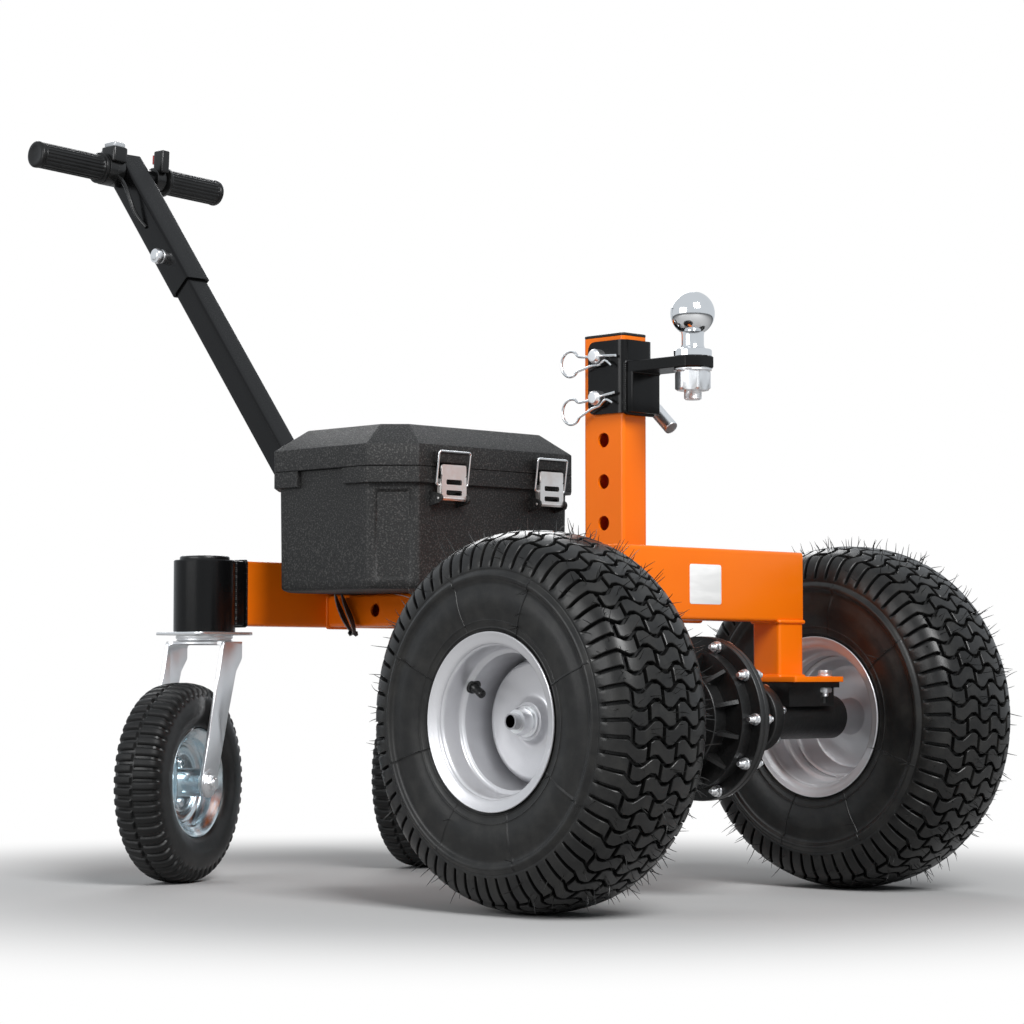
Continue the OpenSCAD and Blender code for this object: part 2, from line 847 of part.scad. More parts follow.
module differential_carrier() {
    inner_half = carrier_half - carrier_wall;
    color(iron) {
        difference() {
            union() {
                along_y([0, -carrier_half, axle_z], 2 * carrier_half, carrier_r);
                along_y([0, -carrier_half - carrier_hub_len, axle_z],
                    2 * (carrier_half + carrier_hub_len), carrier_hub_r);
                along_y([0, -ring_face / 2 - carrier_flange_t - fit_gap, axle_z], carrier_flange_t,
                    carrier_flange_r);
            }
            along_y([0, -inner_half, axle_z], 2 * inner_half, carrier_r - carrier_wall);
            along_y([0, -2 * carrier_half, axle_z], 4 * carrier_half, bore_r);
            translate([-carrier_flange_r, 0, axle_z]) rotate([0, 90, 0])
                cylinder(h = 2 * carrier_flange_r, r = spider_pin_r);
        }
        translate([-carrier_r, 0, axle_z]) rotate([0, 90, 0]) cylinder(h = 2 * carrier_r, r = spider_pin_r);
        for (side = [-1, 1]) translate([side * (carrier_r - carrier_wall), 0, axle_z])
            rotate([0, -side * 90, 0])
            cylinder(h = spider_len, r1 = spider_big_r, r2 = spider_small_r);
    }
}

module motor_case() {
    color(black) difference() {
        union() {
            along_y([-gear_gap, motor_y - motor_len, axle_z], motor_len, motor_r);
            along_y([-gear_gap, motor_y - motor_len - motor_wall, axle_z], motor_wall, motor_r / 2);
        }
        along_y([-gear_gap, motor_y - motor_len + 2 * motor_wall, axle_z], motor_len - 4 * motor_wall,
            armature_r + armature_air);
        along_y([-gear_gap, motor_y - motor_len - 2 * motor_wall, axle_z], motor_len + 3 * motor_wall,
            motor_shaft_r + run_gap);
    }
}

module motor_rotor() {
    tail = motor_len + motor_wall;
    // The pinion's gaps face the ring gear's teeth when it is turned by half a tooth
    mesh_turn = 180 / pinion_teeth;
    color(iron) {
        along_y([-gear_gap, motor_y - tail, axle_z], tail - motor_y + pinion_face / 2, motor_shaft_r);
        along_y([-gear_gap, motor_y - motor_len + armature_gap, axle_z], motor_len - 2 * armature_gap,
            armature_r);
        translate([-gear_gap, pinion_face / 2, axle_z]) rotate([90, 0, 0]) linear_extrude(pinion_face)
            rotate([0, 0, mesh_turn]) polygon(gear_points(pinion_teeth, gear_slack));
    }
}

module axle_shaft(side) {
    side_gear_y = spider_pin_r + 2 * spider_len - spider_root;
    gear_y = carrier_half - carrier_wall - face_gap;
    out_y = wheel_y + hub_out;
    color(zinc) on_side(side) {
        along_y([0, side_gear_y, axle_z], out_y - side_gear_y, shaft_d / 2);
        along_y([0, out_y, axle_z], thread_len, thread_r);
        translate([0, gear_y, axle_z]) rotate([90, 0, 0]) cylinder(h = gear_y - side_gear_y, r1 =
            spider_big_r, r2 = spider_small_r);
    }
}

module right_axle_shaft() { axle_shaft(-1); }

module left_axle_shaft() { axle_shaft(1); }

// A pressed steel rim: barrel, two flanges, a dished disc and the axle hub
module drive_rim(side) {
    bead_r = rim_bead_d / 2;
    flange_r = rim_flange_d / 2;
    color(silver) on_side(side) spun([0, wheel_y, axle_z]) {
        translate([bead_r - rim_t, -rim_half]) square([rim_t, 2 * rim_half]);
        for (y = [-rim_half, rim_half - rim_t]) translate([bead_r - rim_t, y])
            square([flange_r - bead_r + rim_t, rim_t]);
        translate([hub_r - over, disc_y - rim_t]) square([disc_r - hub_r + 2 * over, rim_t]);
        polygon([[disc_r, disc_y], [disc_r, disc_y - rim_t], [bead_r - rim_t + over, -disc_dip - rim_t],
            [bead_r - rim_t + over, -disc_dip]]);
        translate([shaft_d / 2 + fit_gap, -hub_in]) square([hub_r - shaft_d / 2 - fit_gap,
            hub_in + hub_out]);
    }
}

module right_drive_rim() { drive_rim(-1); }

module left_drive_rim() { drive_rim(1); }

// A hollow tyre section above its rim: a superellipse with the beads between
// the rim's flanges
module tyre_section(od, w, bead_d, flange_d, bead_half, wall, tread_power, side_power) {
    mid_r = (od + bead_d) / 4;
    half_h = (od - bead_d) / 4;
    bead_r = bead_d / 2 + fit_gap;
    seat_r = flange_d / 2 + face_gap;
    difference() {
        union() {
            intersection() {
                translate([mid_r, 0]) polygon(section(half_h, w / 2, tread_power, side_power));
                translate([seat_r, -w]) square([od, 2 * w]);
            }
            translate([bead_r, -bead_half]) square([seat_r - bead_r + over, 2 * bead_half]);
        }
        intersection() {
            translate([mid_r, 0]) polygon(section(half_h - wall, w / 2 - wall, tread_power, side_power));
            translate([seat_r - over, -w]) square([od, 2 * w]);
        }
        translate([0, -bead_half + wall]) square([seat_r + wall, 2 * (bead_half - wall)]);
    }
}

module drive_tyre(side) {
    color(rubber) spun([0, side * wheel_y, axle_z]) difference() {
        tyre_section(tyre_od, tyre_w, rim_bead_d, rim_flange_d, rim_half - rim_t - face_gap,
            tyre_wall + groove_depth / 2,
            tyre_crown_power, tyre_side_power);
        for (share = groove_shares) translate([tyre_od / 2 - groove_depth, share * tyre_w - groove_w / 2])
            square([2 * groove_depth, groove_w]);
    }
}

module right_drive_tyre() { drive_tyre(-1); }

module left_drive_tyre() { drive_tyre(1); }

module wheel_nut(side) {
    out_y = wheel_y + hub_out;
    color(zinc) on_side(side) difference() {
        union() {
            along_y([0, out_y, axle_z], hub_washer_t, hub_washer_r);
            translate([0, out_y + hub_washer_t, axle_z]) rotate([-90, 0, 0])
                cylinder(h = hub_nut_h, r = hub_nut_r, $fn = hex_fn);
        }
        along_y([0, out_y - over, axle_z], thread_len, thread_r + fit_gap);
    }
}

module right_wheel_nut() { wheel_nut(-1); }

module left_wheel_nut() { wheel_nut(1); }

// The fixed half of each caster: the top plate and the upper ball race
module caster_plates() {
    half = cplate_side / 2 - cplate_corner;
    color(zinc) each_side() translate([rear_x, swivel_y, head_z - cplate_t]) difference() {
        union() {
            linear_extrude(cplate_t) {
                square([2 * half, cplate_side], center = true);
                square([cplate_side, 2 * half], center = true);
                for (x = [-half, half], y = [-half, half]) translate([x, y]) circle(r = cplate_corner);
            }
            translate([0, 0, -race_h]) cylinder(h = race_h, r = race_r);
        }
        translate([0, 0, -race_h - over]) cylinder(h = race_h + cplate_t + 2 * over, r =
            kingpin_r + run_gap);
    }
}

// Places a caster's turning parts: local X trails away from the swivel
module on_caster(side) {
    translate([rear_x, side * swivel_y, 0]) rotate([0, 0, caster_heading]) children();
}

module caster_fork(side) {
    wheel_z = caster_od / 2;
    color(zinc) on_caster(side) difference() {
        union() {
            translate([0, 0, crown_z]) cylinder(h = crown_t, r = crown_r);
            box_at([-fork_top_w / 2, -fork_half - fork_t, crown_z],
                [fork_top_w / 2, fork_half + fork_t, crown_z + crown_t]);
            translate([0, 0, crown_z]) cylinder(h = head_z - crown_z + kingpin_nut_h, r = kingpin_r);
            translate([0, 0, head_z + face_gap]) cylinder(h = kingpin_nut_h, r = kingpin_nut_r, $fn =
                hex_fn);
            for (y = [fork_half, -fork_half - fork_t]) translate([0, y + fork_t, 0]) rotate([90, 0, 0])
                linear_extrude(fork_t) {
                polygon([[-fork_top_w / 2, crown_z + crown_t], [fork_top_w / 2, crown_z + crown_t],
                    [caster_trail + fork_boss_r * cos(fork_front_angle),
                        wheel_z + fork_boss_r * sin(fork_front_angle)],
                    [caster_trail, wheel_z],
                    [caster_trail - fork_boss_r * cos(fork_back_angle),
                        wheel_z - fork_boss_r * sin(fork_back_angle)],
                    [-fork_top_w / 2 + fork_waist, crown_z - 2 * fork_waist],
                        [-fork_top_w / 2, crown_z - fork_waist]]);
                translate([caster_trail, wheel_z]) circle(r = fork_boss_r);
            }
        }
        translate([caster_trail, -2 * fork_half, wheel_z]) rotate([-90, 0, 0])
            cylinder(h = 4 * fork_half, r = spacer_r - spacer_step + fit_gap);
    }
}

module right_caster_fork() { caster_fork(-1); }

module left_caster_fork() { caster_fork(1); }

module caster_axle(side) {
    wheel_z = caster_od / 2;
    reach = fork_half + fork_t + fit_gap;
    color(zinc) on_caster(side) translate([caster_trail, 0, wheel_z]) {
        along_y([0, -reach, 0], 2 * reach, spacer_r - spacer_step);
        along_y([0, -fork_half + fit_gap, 0], 2 * (fork_half - fit_gap), spacer_r);
        for (y = [-reach - axle_head_h, reach]) translate([0, y, 0]) rotate([-90, 0, 0])
            cylinder(h = axle_head_h, r = axle_head_r, $fn = hex_fn);
    }
}

module right_caster_axle() { caster_axle(-1); }

module left_caster_axle() { caster_axle(1); }

module caster_rim(side) {
    bead_r = caster_bead_d / 2;
    flange_r = caster_flange_d / 2;
    hub_half = fork_half - hub_side_gap;
    color(silver) on_caster(side) spun([caster_trail, 0, caster_od / 2]) {
        translate([bead_r - caster_rim_t, -caster_rim_half]) square([caster_rim_t, 2 * caster_rim_half]);
        for (y = [-caster_rim_half, caster_rim_half - caster_rim_t]) translate([bead_r - caster_rim_t, y])
            square([flange_r - bead_r + caster_rim_t, caster_rim_t]);
        translate([caster_hub_r - over, -caster_rim_t / 2]) square([bead_r - caster_hub_r, caster_rim_t]);
        translate([spacer_r + run_gap, -hub_half]) square([caster_hub_r - spacer_r - run_gap,
            2 * hub_half]);
    }
}

module right_caster_rim() { caster_rim(-1); }

module left_caster_rim() { caster_rim(1); }

module caster_tyre(side) {
    color(rubber) on_caster(side) spun([caster_trail, 0, caster_od / 2])
        tyre_section(caster_od, caster_w, caster_bead_d, caster_flange_d,
            caster_rim_half - caster_rim_t - face_gap,
            caster_tyre_wall, caster_crown_power, caster_side_power);
}

module right_caster_tyre() { caster_tyre(-1); }

module left_caster_tyre() { caster_tyre(1); }

// The stem's foot: an angle plate over the rear beam, a leaning socket and two
// gussets
module handle_base() {
    back_x = rear_x - beam_w / 2;
    front_x = rear_x + beam_w / 2;
    inner = stem_side + 2 * fit_gap;
    socket_foot = (socket_low + base_t) / cos(stem_lean);
    color(black) {
        box_at([back_x, -base_w / 2, beam_top], [back_x + base_l, base_w / 2, beam_top + base_t]);
        box_at([front_x, -base_w / 2, beam_top - base_drop], [front_x + base_t, base_w / 2, beam_top]);
        difference() {
            union() {
                on_stem() translate([-socket_side / 2, -socket_side / 2, -socket_side])
                    cube([socket_side, socket_side, socket_side + socket_foot + socket_len]);
                for (y = [-socket_side / 2 - gusset_t, socket_side / 2]) translate([0, y + gusset_t, 0])
                    rotate([90, 0, 0])
                    linear_extrude(gusset_t) polygon([[back_x, beam_top], [back_x + base_l, beam_top],
                        [stem_foot_x - socket_len * sin(stem_lean), beam_top + socket_len * cos(stem_lean)],
                        [back_x, beam_top + socket_len * cos(stem_lean) * gusset_share]]);
            }
            box_at([2 * rear_x, -base_w, 0], [0, base_w, beam_top + base_t / 2]);
            on_stem() translate([-inner / 2, -inner / 2, tube_low])
                cube([inner, inner, 2 * socket_len]);
        }
    }
}

module handle_lower_tube() {
    color(black) on_stem() tube_at([-stem_side / 2, -stem_side / 2, tube_low],
        [stem_side / 2, stem_side / 2, stem_len - tube_top_drop], stem_wall, [0, 0, 1]);
}

module handle_sleeve() {
    half = sleeve_side / 2;
    color(black) difference() {
        union() {
            on_stem() tube_at([-half, -half, stem_len - sleeve_len], [half, half, sleeve_top], stem_wall,
                [0, 0, 1]);
            on_stem() box_at([-half, -half, sleeve_top - stem_wall], [half, half, sleeve_top]);
        }
        on_bar() along_y([0, -sleeve_side, 0], 2 * sleeve_side, hbar_d / 2 + fit_gap);
        on_stem() along_y([0, -sleeve_side, stem_len - clamp_drop], sleeve_side, clamp_r + fit_gap);
        on_stem() translate([-sleeve_side, 0, stem_len - set_drop]) rotate([0, 90, 0])
            cylinder(h = sleeve_side, r = set_r + fit_gap);
    }
}

module handlebar() {
    color(black) on_bar() difference() {
        along_y([0, -hbar_len / 2, 0], hbar_len, hbar_d / 2);
        along_y([0, -hbar_len, 0], 2 * hbar_len, hbar_d / 2 - stem_wall);
    }
}

// A grip with a collar at its inner end, closed at the bar's end
module grip_shell(length, gap) {
    inner_y = hbar_len / 2 + collar_w - length;
    difference() {
        union() {
            along_y([0, inner_y, 0], length, grip_d / 2);
            along_y([0, inner_y, 0], collar_w, collar_d / 2);
            along_y([0, inner_y + length - collar_w, 0], collar_w, grip_d / 2 + end_bead);
        }
        along_y([0, inner_y - over, 0], hbar_len / 2 + gap + over - inner_y, hbar_d / 2 + gap);
    }
}

module left_grip() {
    color(rubber) on_bar() grip_shell(grip_len - left_grip_short, fit_gap);
}

module throttle_grip() {
    color(rubber) on_bar() mirror([0, 1, 0]) grip_shell(grip_len, run_gap);
}

// Turns a piece on the handlebar upright, level with the floor
module level_on_bar() {
    rotate([0, stem_lean, 0]) children();
}

module throttle_housing() {
    out_y = -(hbar_len / 2 + collar_w - grip_len - throttle_gap);
    pod_right = out_y + cheek_inset;
    pod_left = out_y + housing_w - cheek_inset;
    color(plastic) on_bar() difference() {
        union() {
            along_y([0, out_y, 0], housing_w, housing_d / 2);
            level_on_bar() {
                box_at([pod_back, pod_right, pod_low], [pod_front, pod_left, pod_high]);
                box_at([pod_back + lens_inset, pod_right + lens_inset, pod_high - over],
                    [pod_front - lens_inset, pod_left - lens_inset, pod_high + lens_h]);
            }
        }
        along_y([0, out_y - over, 0], housing_w + 2 * over, hbar_d / 2 + fit_gap);
    }
}

module direction_switch() {
    mid_y = switch_y + switch_w / 2;
    color(plastic) on_bar() difference() {
        union() {
            along_y([0, switch_y, 0], switch_w, switch_d / 2);
            level_on_bar() box_at([switch_back, switch_y + cheek_inset, switch_low],
                [switch_front, switch_y + switch_w - cheek_inset, switch_high]);
        }
        along_y([0, switch_y - over, 0], switch_w + 2 * over, hbar_d / 2 + fit_gap);
        level_on_bar() box_at([switch_back - over, mid_y - button_w / 2 - face_gap, button_low - face_gap],
            [switch_back + 2 * button_seat, mid_y + button_w / 2 + face_gap, button_high + face_gap]);
    }
}

module switch_button() {
    mid_y = switch_y + switch_w / 2;
    color([0.7, 0.1, 0.08]) on_bar() level_on_bar()
        box_at([switch_back - button_h, mid_y - button_w / 2, button_low],
            [switch_back + button_seat, mid_y + button_w / 2, button_high]);
}

module handle_screws() {
    wall_y = sleeve_side / 2;
    color(zinc) on_stem() {
        translate([0, -wall_y, stem_len - clamp_drop]) rotate([90, 0, 0]) {
            translate([0, 0, stem_side / 2 - wall_y + fit_gap])
                cylinder(h = wall_y - stem_side / 2, r = clamp_r);
            cylinder(h = clamp_collar_h, r = clamp_collar_r);
            translate([0, 0, clamp_collar_h]) cylinder(h = clamp_head_h, r = clamp_head_r, $fn = hex_fn);
        }
        translate([-wall_y, 0, stem_len - set_drop]) rotate([0, -90, 0]) {
            translate([0, 0, stem_side / 2 - wall_y + fit_gap])
                cylinder(h = wall_y - stem_side / 2, r = set_r);
            cylinder(h = set_head_h, r = set_head_r);
        }
    }
}

// A tube of the cable's radius swept along its points, square to each stretch
function ring_at(path, i) =
    let (prev = path[max(0, i - 1)], next = path[min(len(path) - 1, i + 1)],
         dir = (next - prev) / norm(next - prev), side = cross(dir, [1, 0, 0]),
         u = side / norm(side), v = cross(dir, u))
    [for (k = [0 : cable_sides - 1]) let (a = full_turn * k / cable_sides)
        path[i] + cable_r * (cos(a) * u + sin(a) * v)];

module throttle_cable() {
    rings = len(cable_points);
    color(rubber) on_bar() polyhedron(
        points = [for (i = [0 : rings - 1]) each ring_at(cable_points, i)],
        faces = concat([[for (k = [0 : cable_sides - 1]) k]],
            [for (i = [0 : rings - 2], k = [0 : cable_sides - 1])
                let (n = (k + 1) % cable_sides, b = i * cable_sides)
                each [[b + k, b + cable_sides + k, b + n], [b + n, b + cable_sides + k,
                    b + cable_sides + n]]],
            [[for (k = [cable_sides - 1 : -1 : 0]) (rings - 1) * cable_sides + k]]));
}

module box_body() {
    top = [box_l / 2 - body_inset, box_w / 2 - body_inset];
    foot = [box_l / 2 - taper_inset, box_w / 2 - taper_inset];
    lip = [box_l / 2 - rim_lip_inset, box_w / 2 - rim_lip_inset];
    wall = [box_wall, box_wall];
    cut = box_chamfer - body_inset / 2;
    color(plastic) difference() {
        union() {
            octagon_block(spine_top, lid_z - face_gap, foot, top, cut);
            difference() {
                octagon_block(lid_z - rim_lip_h, lid_z - face_gap, lip, lip, box_chamfer);
                for (y = [-box_w / 2, box_w / 2 - recess_depth])
                    box_at([lid_mid_x - lip_recess, y, lid_z - rim_lip_h - over],
                        [lid_mid_x + lip_recess, y + recess_depth, lid_z + over]);
            }
            for (side = [-1, 1]) latch_ears(side);
            for (side = [-1, 1]) hinge_knuckle(side * hinge_span / 2 + hinge_w / 4, hinge_w / 2,
                hinge_z - hinge_root);
        }
        octagon_block(spine_top + floor_t, lid_z + over, foot - wall, top - wall, cut);
        for (dx = [-box_bolt_x, box_bolt_x]) translate([lid_mid_x + dx, 0, spine_top - over])
            cylinder(h = floor_t + 2 * over, r = bolt_r + fit_gap);
        hinge_bore();
        along_y([lid_front_x + lever_out - lever_t, -box_w / 2, lid_z - lever_low], box_w,
            lever_pin_r + run_gap);
    }
}

// Hinge knuckles stand behind the box on the pin's line
module hinge_knuckle(y, w, root_z) {
    back_x = lid_front_x - box_l - hinge_back;
    along_y([back_x, y - w / 2, hinge_z], w, hinge_r);
    box_at([back_x - hinge_r, y - w / 2, root_z], [back_x + hinge_r, y + w / 2, hinge_z]);
    box_at([back_x, y - w / 2, root_z], [back_x + hinge_back + body_inset, y + w / 2,
        root_z + hinge_web_t]);
}

module hinge_bore() {
    along_y([lid_front_x - box_l - hinge_back, -box_w, hinge_z], 2 * box_w, hinge_pin_r + run_gap);
}

module lid_hinge_pin() {
    reach = hinge_w / 2;
    color(zinc) for (side = [-1, 1])
        along_y([lid_front_x - box_l - hinge_back, side * hinge_span / 2 - reach, hinge_z], 2 * reach,
            hinge_pin_r);
}

module latch_ears(side) {
    mid_y = side * latch_span / 2;
    pin_z = lid_z - lever_low;
    for (y = [mid_y - lever_w / 2 - ear_t - face_gap, mid_y + lever_w / 2 + face_gap])
        box_at([lid_front_x - body_inset - box_wall, y, pin_z - ear_h / 2],
            [lid_front_x + lever_out, y + ear_t, pin_z + ear_h / 2]);
}

module latch_lever(side) {
    mid_y = side * latch_span / 2;
    pin_z = lid_z - lever_low;
    face_x = lid_front_x + lever_out - lever_t;
    color(zinc) difference() {
        union() {
            box_at([face_x, mid_y - lever_w / 2, pin_z], [face_x + lever_t, mid_y + lever_w / 2,
                pin_z + lever_h]);
            for (y = [-lever_w / 2, lever_w / 2 - lever_t])
                box_at([face_x - flange_back, mid_y + y, pin_z],
                    [face_x, mid_y + y + lever_t, pin_z + flange_h]);
            along_y([face_x, mid_y - lever_w / 2, pin_z], lever_w, lever_t);
            along_y([face_x, mid_y - lever_w / 2 - ear_t, pin_z], lever_w + 2 * ear_t, lever_pin_r);
        }
        for (z = lever_slot_rises)
            box_at([face_x - over, mid_y - lever_slot_w / 2, pin_z + z - lever_slot_h / 2],
                [face_x + lever_t + over, mid_y + lever_slot_w / 2, pin_z + z + lever_slot_h / 2]);
        along_y([face_x - bail_set_back, mid_y - lever_w, pin_z + bail_low], 2 * lever_w, bail_r + fit_gap);
    }
}

module right_latch_lever() { latch_lever(-1); }

module left_latch_lever() { latch_lever(1); }

// A wire bail: two pegs in the lever's flanges, two uprights beside the keeper
// and a top bar that lies before the keeper
module latch_bail(side) {
    mid_y = side * latch_span / 2;
    low = [lid_front_x + lever_out - lever_t - bail_set_back, 0, lid_z - lever_low + bail_low];
    high = [lid_front_x + lever_out + bail_r + bail_gap, 0, low.z + bail_rise];
    run = high - low;
    peg = bail_half - lever_w / 2 + lever_t + face_gap;
    color(chrome) {
        for (y = [-1, 1]) translate([0, mid_y + y * bail_half, 0]) {
            translate(low) rotate([0, atan2(run.x, run.z), 0]) cylinder(h = norm(run), r = bail_r);
            translate(low) sphere(r = bail_knee_r);
            translate(high) sphere(r = bail_knee_r);
        }
        for (y = [-bail_half, bail_half - peg]) along_y(low + [0, mid_y + y, 0], peg, bail_r);
        along_y(high + [0, mid_y - bail_half, 0], 2 * bail_half, bail_r);
    }
}

module right_latch_bail() { latch_bail(-1); }

module left_latch_bail() { latch_bail(1); }

module box_lid() {
    rim = [box_l / 2, box_w / 2];
    plateau = rim - [crown_inset, crown_inset];
    wall = [box_wall, box_wall];
    top_z = lid_z + skirt_h + crown_h;
    color(plastic) difference() {
        union() {
            octagon_block(lid_z, lid_z + skirt_h, rim, rim, box_chamfer);
            octagon_block(lid_z + skirt_h, top_z, rim, plateau, box_chamfer);
            for (side = [-1, 1]) box_at([lid_front_x - over, side * latch_span / 2 - keeper_w / 2,
                lid_z + keeper_low],
                [lid_front_x + lever_out, side * latch_span / 2 + keeper_w / 2,
                    lid_z + keeper_low + keeper_h]);
            for (side = [-1, 1]) hinge_knuckle(side * hinge_span / 2 - hinge_w / 4 - face_gap,
                hinge_w / 2, hinge_z - hinge_lid_root);
        }
        octagon_block(lid_z - over, lid_z + skirt_h, rim - wall, rim - wall, box_chamfer);
        octagon_block(lid_z + skirt_h, top_z - box_wall, rim - wall, plateau - wall, box_chamfer);
        hinge_bore();
    }
}

module batteries() {
    low = spine_top + floor_t;
    mid_x = lid_mid_x + battery_shift;
    color([0.1, 0.1, 0.12]) for (side = [-1, 1]) {
        box_at([mid_x - battery_w / 2, side * (battery_gap + battery_l) / 2 - battery_l / 2, low],
            [mid_x + battery_w / 2, side * (battery_gap + battery_l) / 2 + battery_l / 2, low + battery_h]);
        for (dx = [-terminal_share, terminal_share] * battery_w)
            translate([mid_x + dx, side * (battery_gap + battery_l) / 2, low + battery_h])
            cylinder(h = terminal_h, r = terminal_r);
    }
}

module controller() {
    low = spine_top + floor_t;
    back_x = lid_mid_x - box_l / 2 + taper_inset + box_wall + controller_gap;
    color(silver) box_at([back_x, -controller_l / 2, low], [back_x + controller_h, controller_l / 2,
        low + controller_w]);
}

front_crossbeam();
axle_legs();
rear_crossbeam();
spine_tube();
hitch_post();
caster_heads();
end_caps();
frame_bolts();
hitch_mount();
hitch_ball();
ball_nut();
hitch_pins();
hitch_clips();
axle_housings();
right_gearcase_half();
left_gearcase_half();
gearcase_bolts();
axle_bearings();
ring_gear();
differential_carrier();
motor_case();
motor_rotor();
right_axle_shaft();
left_axle_shaft();
right_drive_rim();
left_drive_rim();
right_drive_tyre();
left_drive_tyre();
right_wheel_nut();
left_wheel_nut();
caster_plates();
right_caster_fork();
left_caster_fork();
right_caster_axle();
left_caster_axle();
right_caster_rim();
left_caster_rim();
right_caster_tyre();
left_caster_tyre();
handle_base();
handle_lower_tube();
handle_sleeve();
handlebar();
left_grip();
throttle_grip();
throttle_housing();
direction_switch();
switch_button();
handle_screws();
throttle_cable();
box_body();
box_lid();
lid_hinge_pin();
right_latch_lever();
left_latch_lever();
right_latch_bail();
left_latch_bail();
batteries();
controller();
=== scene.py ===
"""Looks of a walk-behind electric tug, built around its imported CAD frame.

Sizes are in millimetres in the classes below and become metres when a mesh is made.
X points forward, Y to the tug's left and Z up, from the floor under the drive axle.
"""

import logging
import math
from collections.abc import Sequence
from dataclasses import dataclass
from enum import Enum
from typing import Any

import bmesh
import bpy
import numpy as np
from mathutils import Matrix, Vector

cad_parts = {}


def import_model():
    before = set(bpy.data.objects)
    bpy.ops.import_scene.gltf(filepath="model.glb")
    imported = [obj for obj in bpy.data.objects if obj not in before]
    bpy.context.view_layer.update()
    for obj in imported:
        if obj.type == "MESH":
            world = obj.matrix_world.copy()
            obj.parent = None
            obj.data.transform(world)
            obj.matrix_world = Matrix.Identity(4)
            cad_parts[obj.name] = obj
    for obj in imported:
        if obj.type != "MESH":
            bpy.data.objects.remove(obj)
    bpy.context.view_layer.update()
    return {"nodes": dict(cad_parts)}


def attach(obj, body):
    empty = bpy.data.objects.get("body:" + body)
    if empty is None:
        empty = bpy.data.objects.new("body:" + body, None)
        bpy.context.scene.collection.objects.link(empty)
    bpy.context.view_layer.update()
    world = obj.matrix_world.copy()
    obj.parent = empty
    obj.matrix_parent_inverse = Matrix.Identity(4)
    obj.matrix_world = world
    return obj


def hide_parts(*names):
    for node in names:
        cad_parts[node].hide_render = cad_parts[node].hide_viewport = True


Array = np.ndarray
Pair = tuple[float, float]
Triple = tuple[float, float, float]
Point = Triple
Colour = Triple
Line = Sequence[Sequence[float]]
Material = bpy.types.Material

MM = 0.001
SEED = 4217
AHEAD: Point = (1.0, 0.0, 0.0)
LEFTWARD: Point = (0.0, 1.0, 0.0)
UP: Point = (0.0, 0.0, 1.0)
log = logging.getLogger("tug")


class Side(Enum):
    """The tug's own right and left, with the sign of Y there."""

    RIGHT = -1
    LEFT = 1

    @property
    def word(self) -> str:
        """The side's name as it stands in node names."""
        return self.name.lower()

    @property
    def out(self) -> Point:
        """The direction away from the tug's middle."""
        return 0.0, float(self.value), 0.0


# ---- shader maths


class Signal:
    """A shader output that takes part in Python sums."""

    def __init__(self, sheet: "Sheet", socket: bpy.types.NodeSocket) -> None:
        """Keep the sheet that the node stands on and its output."""
        self.sheet = sheet
        self.socket = socket

    def maths(self, operation: str, first: Any, second: Any = 0.0) -> "Signal":
        """Add one Math node.

        Args:
            operation: the Math node's operation.
            first: its first value or signal.
            second: its second value or signal.

        Returns:
            The node's result.
        """
        return self.sheet.node("ShaderNodeMath", {"operation": operation}, {0: first, 1: second})

    def __add__(self, other: Any) -> "Signal":
        """This signal plus another."""
        return self.maths("ADD", self, other)

    def __radd__(self, other: Any) -> "Signal":
        """Another value plus this signal."""
        return self.maths("ADD", other, self)

    def __sub__(self, other: Any) -> "Signal":
        """This signal less another."""
        return self.maths("SUBTRACT", self, other)

    def __rsub__(self, other: Any) -> "Signal":
        """Another value less this signal."""
        return self.maths("SUBTRACT", other, self)

    def __mul__(self, other: Any) -> "Signal":
        """This signal times another."""
        return self.maths("MULTIPLY", self, other)

    def __rmul__(self, other: Any) -> "Signal":
        """Another value times this signal."""
        return self.maths("MULTIPLY", other, self)

    def between(self, low: float, high: float) -> "Signal":
        """Zero below low, one above high and a soft ramp in the middle."""
        settings = {"interpolation_type": "SMOOTHSTEP"}
        return self.sheet.node("ShaderNodeMapRange", settings, {0: self, 1: low, 2: high})


